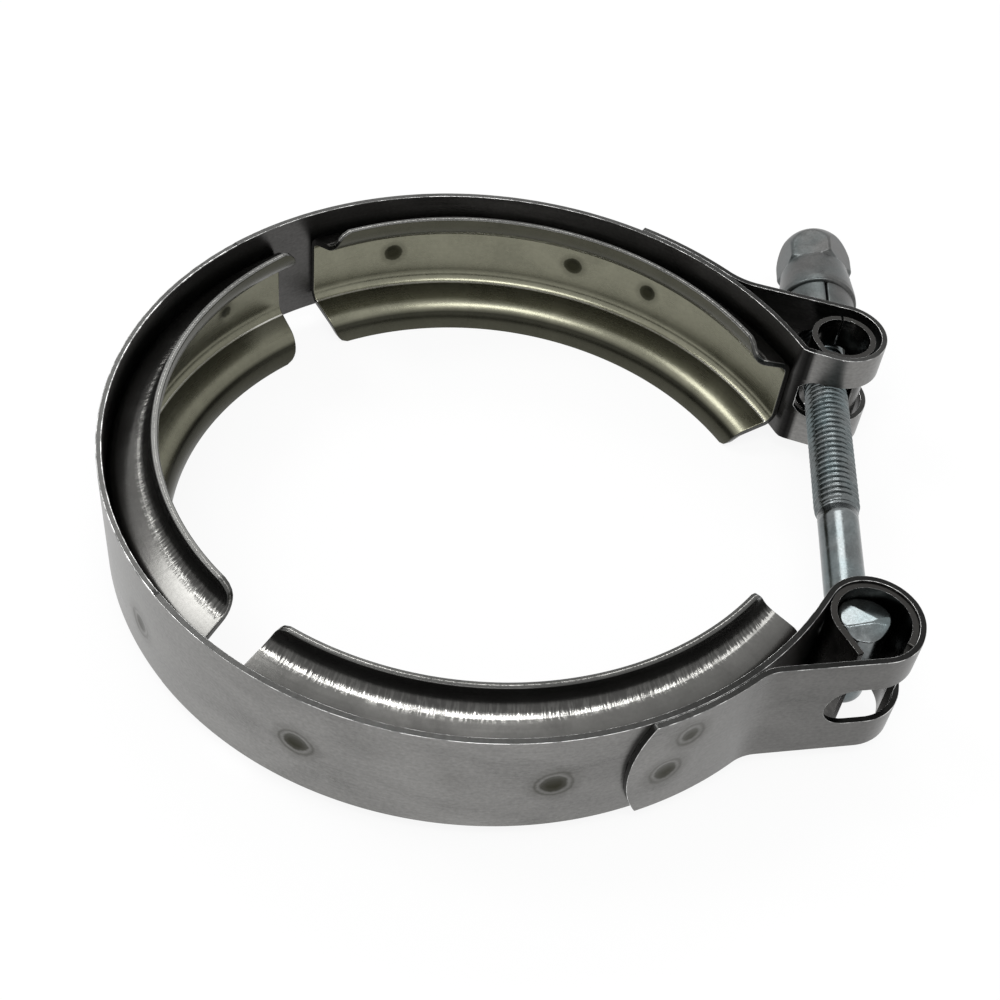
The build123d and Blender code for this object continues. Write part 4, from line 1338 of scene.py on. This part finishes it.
class CLAMP_OT_nut(Operator):
    """Builds the crowned flange nut and the rolled spacer sleeve in front of it"""

    bl_idname = "clamp.nut"
    bl_label = "Nut and sleeve"

    def execute(self, context):
        settings = context.scene.clamp.nut
        sleeve = self.sleeve_mesh(settings, context.scene.clamp.loops.seam)
        steel = zinc_plate("dull_sleeve", settings.sleeve_steel, roughness=0.36)
        piece = soften(object_of(sleeve, steel), 0.35 * MM, 3)
        seat(piece, "sleeve", "sleeve_steel", "spacer_sleeve")
        nut = object_of(self.nut_mesh(settings), zinc_plate("satin_zinc", settings.zinc, roughness=0.34))
        seat(nut, "nut", "nut_zinc", "lock_nut")
        return {"FINISHED"}

    @staticmethod
    def sleeve_mesh(settings, seam):
        """A thick strip rolled round the bolt, with its seam on top."""
        middle = (settings.sleeve_radius + settings.sleeve_bore) / 2
        half_seam = degrees(seam / 2 / settings.sleeve_radius)
        up = -90
        course = Course(polar(middle, up + half_seam), up + half_seam + 90)
        course.arc(middle, 360 - 2 * half_seam)
        corners, quads = strip_grid(course, SLEEVE_START, SLEEVE_END, 0.6 * MM)
        mesh = lay_strip("sleeve_roll", course, corners, quads, settings.sleeve_radius - settings.sleeve_bore)
        mesh.transform(BOLT_FRAME)
        return mesh

    @staticmethod
    def nut_mesh(settings):
        """Hexagon, crown, cone and flange in one, round a plain bore."""
        total = NUT_END - NUT_START
        rim = 0.3 * MM
        bore_chamfer = 0.35 * MM
        crown_share = 0.93
        angles = circle_angles(180)
        flat = settings.across_flats / 2
        lean = (np.degrees(angles) + settings.turn) % 60 - 30
        corner = flat / cos(radians(30))
        hexagon = np.minimum(flat / np.cos(np.radians(lean)), 0.985 * corner)
        along = spaced(0, total, 0.25 * MM)
        # The crown is part of an ellipse, from the corners down to its end.
        share = crown_share * np.clip((along - settings.crown_start) / (total - settings.crown_start), 0, 1)
        fall = (corner - settings.crown_radius) / (1 - sqrt(1 - crown_share**2))
        crown = corner - fall * (1 - np.sqrt(1 - share**2))
        slope = np.clip((along - settings.flange_rim) / (settings.cone_length - settings.flange_rim), 0, 1)
        cone = settings.flange_radius + (settings.cone_radius - settings.flange_radius) * slope
        cone[along > settings.cone_length + 0.01 * MM] = 0
        # The corners are chamfered above the cone.
        chamfer = flat + 0.05 * MM + np.clip(along - settings.cone_length, 0, None)
        crown = np.minimum(crown, chamfer)
        outer = soft_max(soft_min(hexagon[None, :], crown[:, None], 0.12 * MM), cone[:, None], 0.1 * MM)
        outer[0] -= rim
        heights = along.copy()
        heights[1] = max(heights[1], rim)
        rings = [polar_ring(radii, angles, NUT_START + height) for radii, height in zip(outer, heights)]
        inner = np.full(angles.shape, settings.bore)
        for widening, height in ((bore_chamfer, total), (0.0, total - bore_chamfer),
                                 (0.0, bore_chamfer), (bore_chamfer, 0.0)):
            rings.append(polar_ring(inner + widening, angles, NUT_START + height))
        mesh = rings_mesh("crowned_nut", np.array(rings), closed=True)
        mesh.transform(BOLT_FRAME)
        return mesh


def soft_min(a, b, width):
    """The smaller of two, rounded where they cross."""
    h = np.clip(0.5 + (b - a) / width / 2, 0, 1)
    return b * (1 - h) + a * h - width * h * (1 - h)


def soft_max(a, b, width):
    return -soft_min(-a, -b, width)


# ------------------------------------------------------------------ the studio
class CLAMP_OT_studio(Operator):
    """Sets up the pale floor, the soft lamps, the world and the camera"""

    bl_idname = "clamp.studio"
    bl_label = "Studio"

    FLOOR_HALF = 4.0
    LAMP_DISTANCE = 0.9
    # Name, direction, width, height and brightness.
    SOFTBOXES = (
        ("back_softbox", (-0.15, 0.66, 0.735), 0.45, 0.17, 6.0),
        ("left_softbox", (-0.57, 0.16, 0.80), 0.24, 0.24, 9.0),
        ("top_softbox", (0.0, -0.40, 0.92), 0.5, 0.15, 11.0),
    )

    def execute(self, context):
        scene = context.scene
        settings = scene.clamp.studio
        self.floor(settings)
        self.world(scene)
        self.lamps(scene)
        self.camera(scene, settings)
        scene.view_settings.view_transform = "Standard"
        return {"FINISHED"}

    def floor(self, settings):
        """A plain matt floor at the clamp's lowest point, which looks almost white to the camera."""
        half, level = self.FLOOR_HALF, CAD_BOX[0].z
        points = np.array([(x * half, y * half, level) for x, y in ((-1, -1), (1, -1), (1, 1), (-1, 1))])
        finish = Finish("pale_floor", settings.floor, 0.9, metallic=0.0)
        finish.set("Specular IOR Level", 0.0)
        glow = finish.node("ShaderNodeEmission", (1, 1, 1, 1), 1.0).outputs[0]
        share = finish.math("MULTIPLY", finish.seen(), 0.9)
        blend = finish.node("ShaderNodeMixShader", share, finish.shader.outputs[0], glow).outputs[0]
        finish.put(blend, finish.tree.nodes["Material Output"].inputs["Surface"])
        floor = object_of(mesh_of("studio_floor", points, [[0, 1, 2, 3]]), finish.material)

    @staticmethod
    def world(scene):
        """A white world that gives a little less light than it shows."""
        world = bpy.data.worlds.new("studio_world")
        scene.world = world
        world.use_nodes = True
        sky = Nodes(world.node_tree)
        background = sky.tree.nodes["Background"].inputs
        sky.put((1, 1, 1, 1), background["Color"])
        sky.put(sky.fit(sky.seen(), None, None, 0.7, 1.0), background["Strength"])

    def lamps(self, scene):
        for name, direction, width, height, brightness in self.SOFTBOXES:
            light = bpy.data.lights.new(name, "AREA")
            light.shape = "RECTANGLE"
            light.size = width
            light.size_y = height
            light.energy = brightness * pi * width * height
            lamp = bpy.data.objects.new(name, light)
            lamp.location = Vector(direction).normalized() * self.LAMP_DISTANCE
            lamp.rotation_euler = (-Vector(direction)).to_track_quat("-Z", "Y").to_euler()
            scene.collection.objects.link(lamp)

    @staticmethod
    def camera(scene, settings):
        data = bpy.data.cameras.new("camera")
        data.sensor_width = 36.0
        data.lens = settings.lens
        data.clip_start = 0.01
        camera = bpy.data.objects.new("camera", data)
        lift = Matrix.Rotation(radians(90 - settings.elevation), 4, "X")
        roll = Matrix.Rotation(radians(settings.roll), 4, "Z")
        camera.matrix_world = Matrix.Translation(settings.place) @ lift @ roll
        scene.collection.objects.link(camera)
        scene.camera = camera


class CLAMP_PT_panel(Panel):
    """Lists the steps that build the clamp"""

    bl_idname = "CLAMP_PT_panel"
    bl_label = "V-band clamp"
    bl_space_type = "VIEW_3D"
    bl_region_type = "UI"
    bl_category = "Clamp"

    def draw(self, context):
        for operator in OPERATORS:
            self.layout.operator(operator.bl_idname)
        for group in ("strap", "loops", "retainer", "bolt", "nut", "studio"):
            settings = getattr(context.scene.clamp, group)
            box = self.layout.box()
            box.label(text=group.capitalize())
            for name in settings.__annotations__:
                box.prop(settings, name)


SETTINGS = (StrapSettings, LoopSettings, RetainerSettings, BoltSettings, NutSettings, StudioSettings,
            ClampSettings)
OPERATORS = (CLAMP_OT_strap, CLAMP_OT_retainers, CLAMP_OT_rolls, CLAMP_OT_bolt, CLAMP_OT_nut, CLAMP_OT_studio)


def register():
    for kind in (*SETTINGS, *OPERATORS, CLAMP_PT_panel):
        bpy.utils.register_class(kind)
    bpy.types.Scene.clamp = PointerProperty(type=ClampSettings)


def unregister():
    del bpy.types.Scene.clamp
    for kind in reversed((*SETTINGS, *OPERATORS, CLAMP_PT_panel)):
        bpy.utils.unregister_class(kind)


def main():
    register()
    for step in (bpy.ops.clamp.strap, bpy.ops.clamp.retainers, bpy.ops.clamp.rolls, bpy.ops.clamp.bolt,
                 bpy.ops.clamp.nut, bpy.ops.clamp.studio):
        step()
    bpy.context.view_layer.update()


if __name__ == "__main__":
    main()
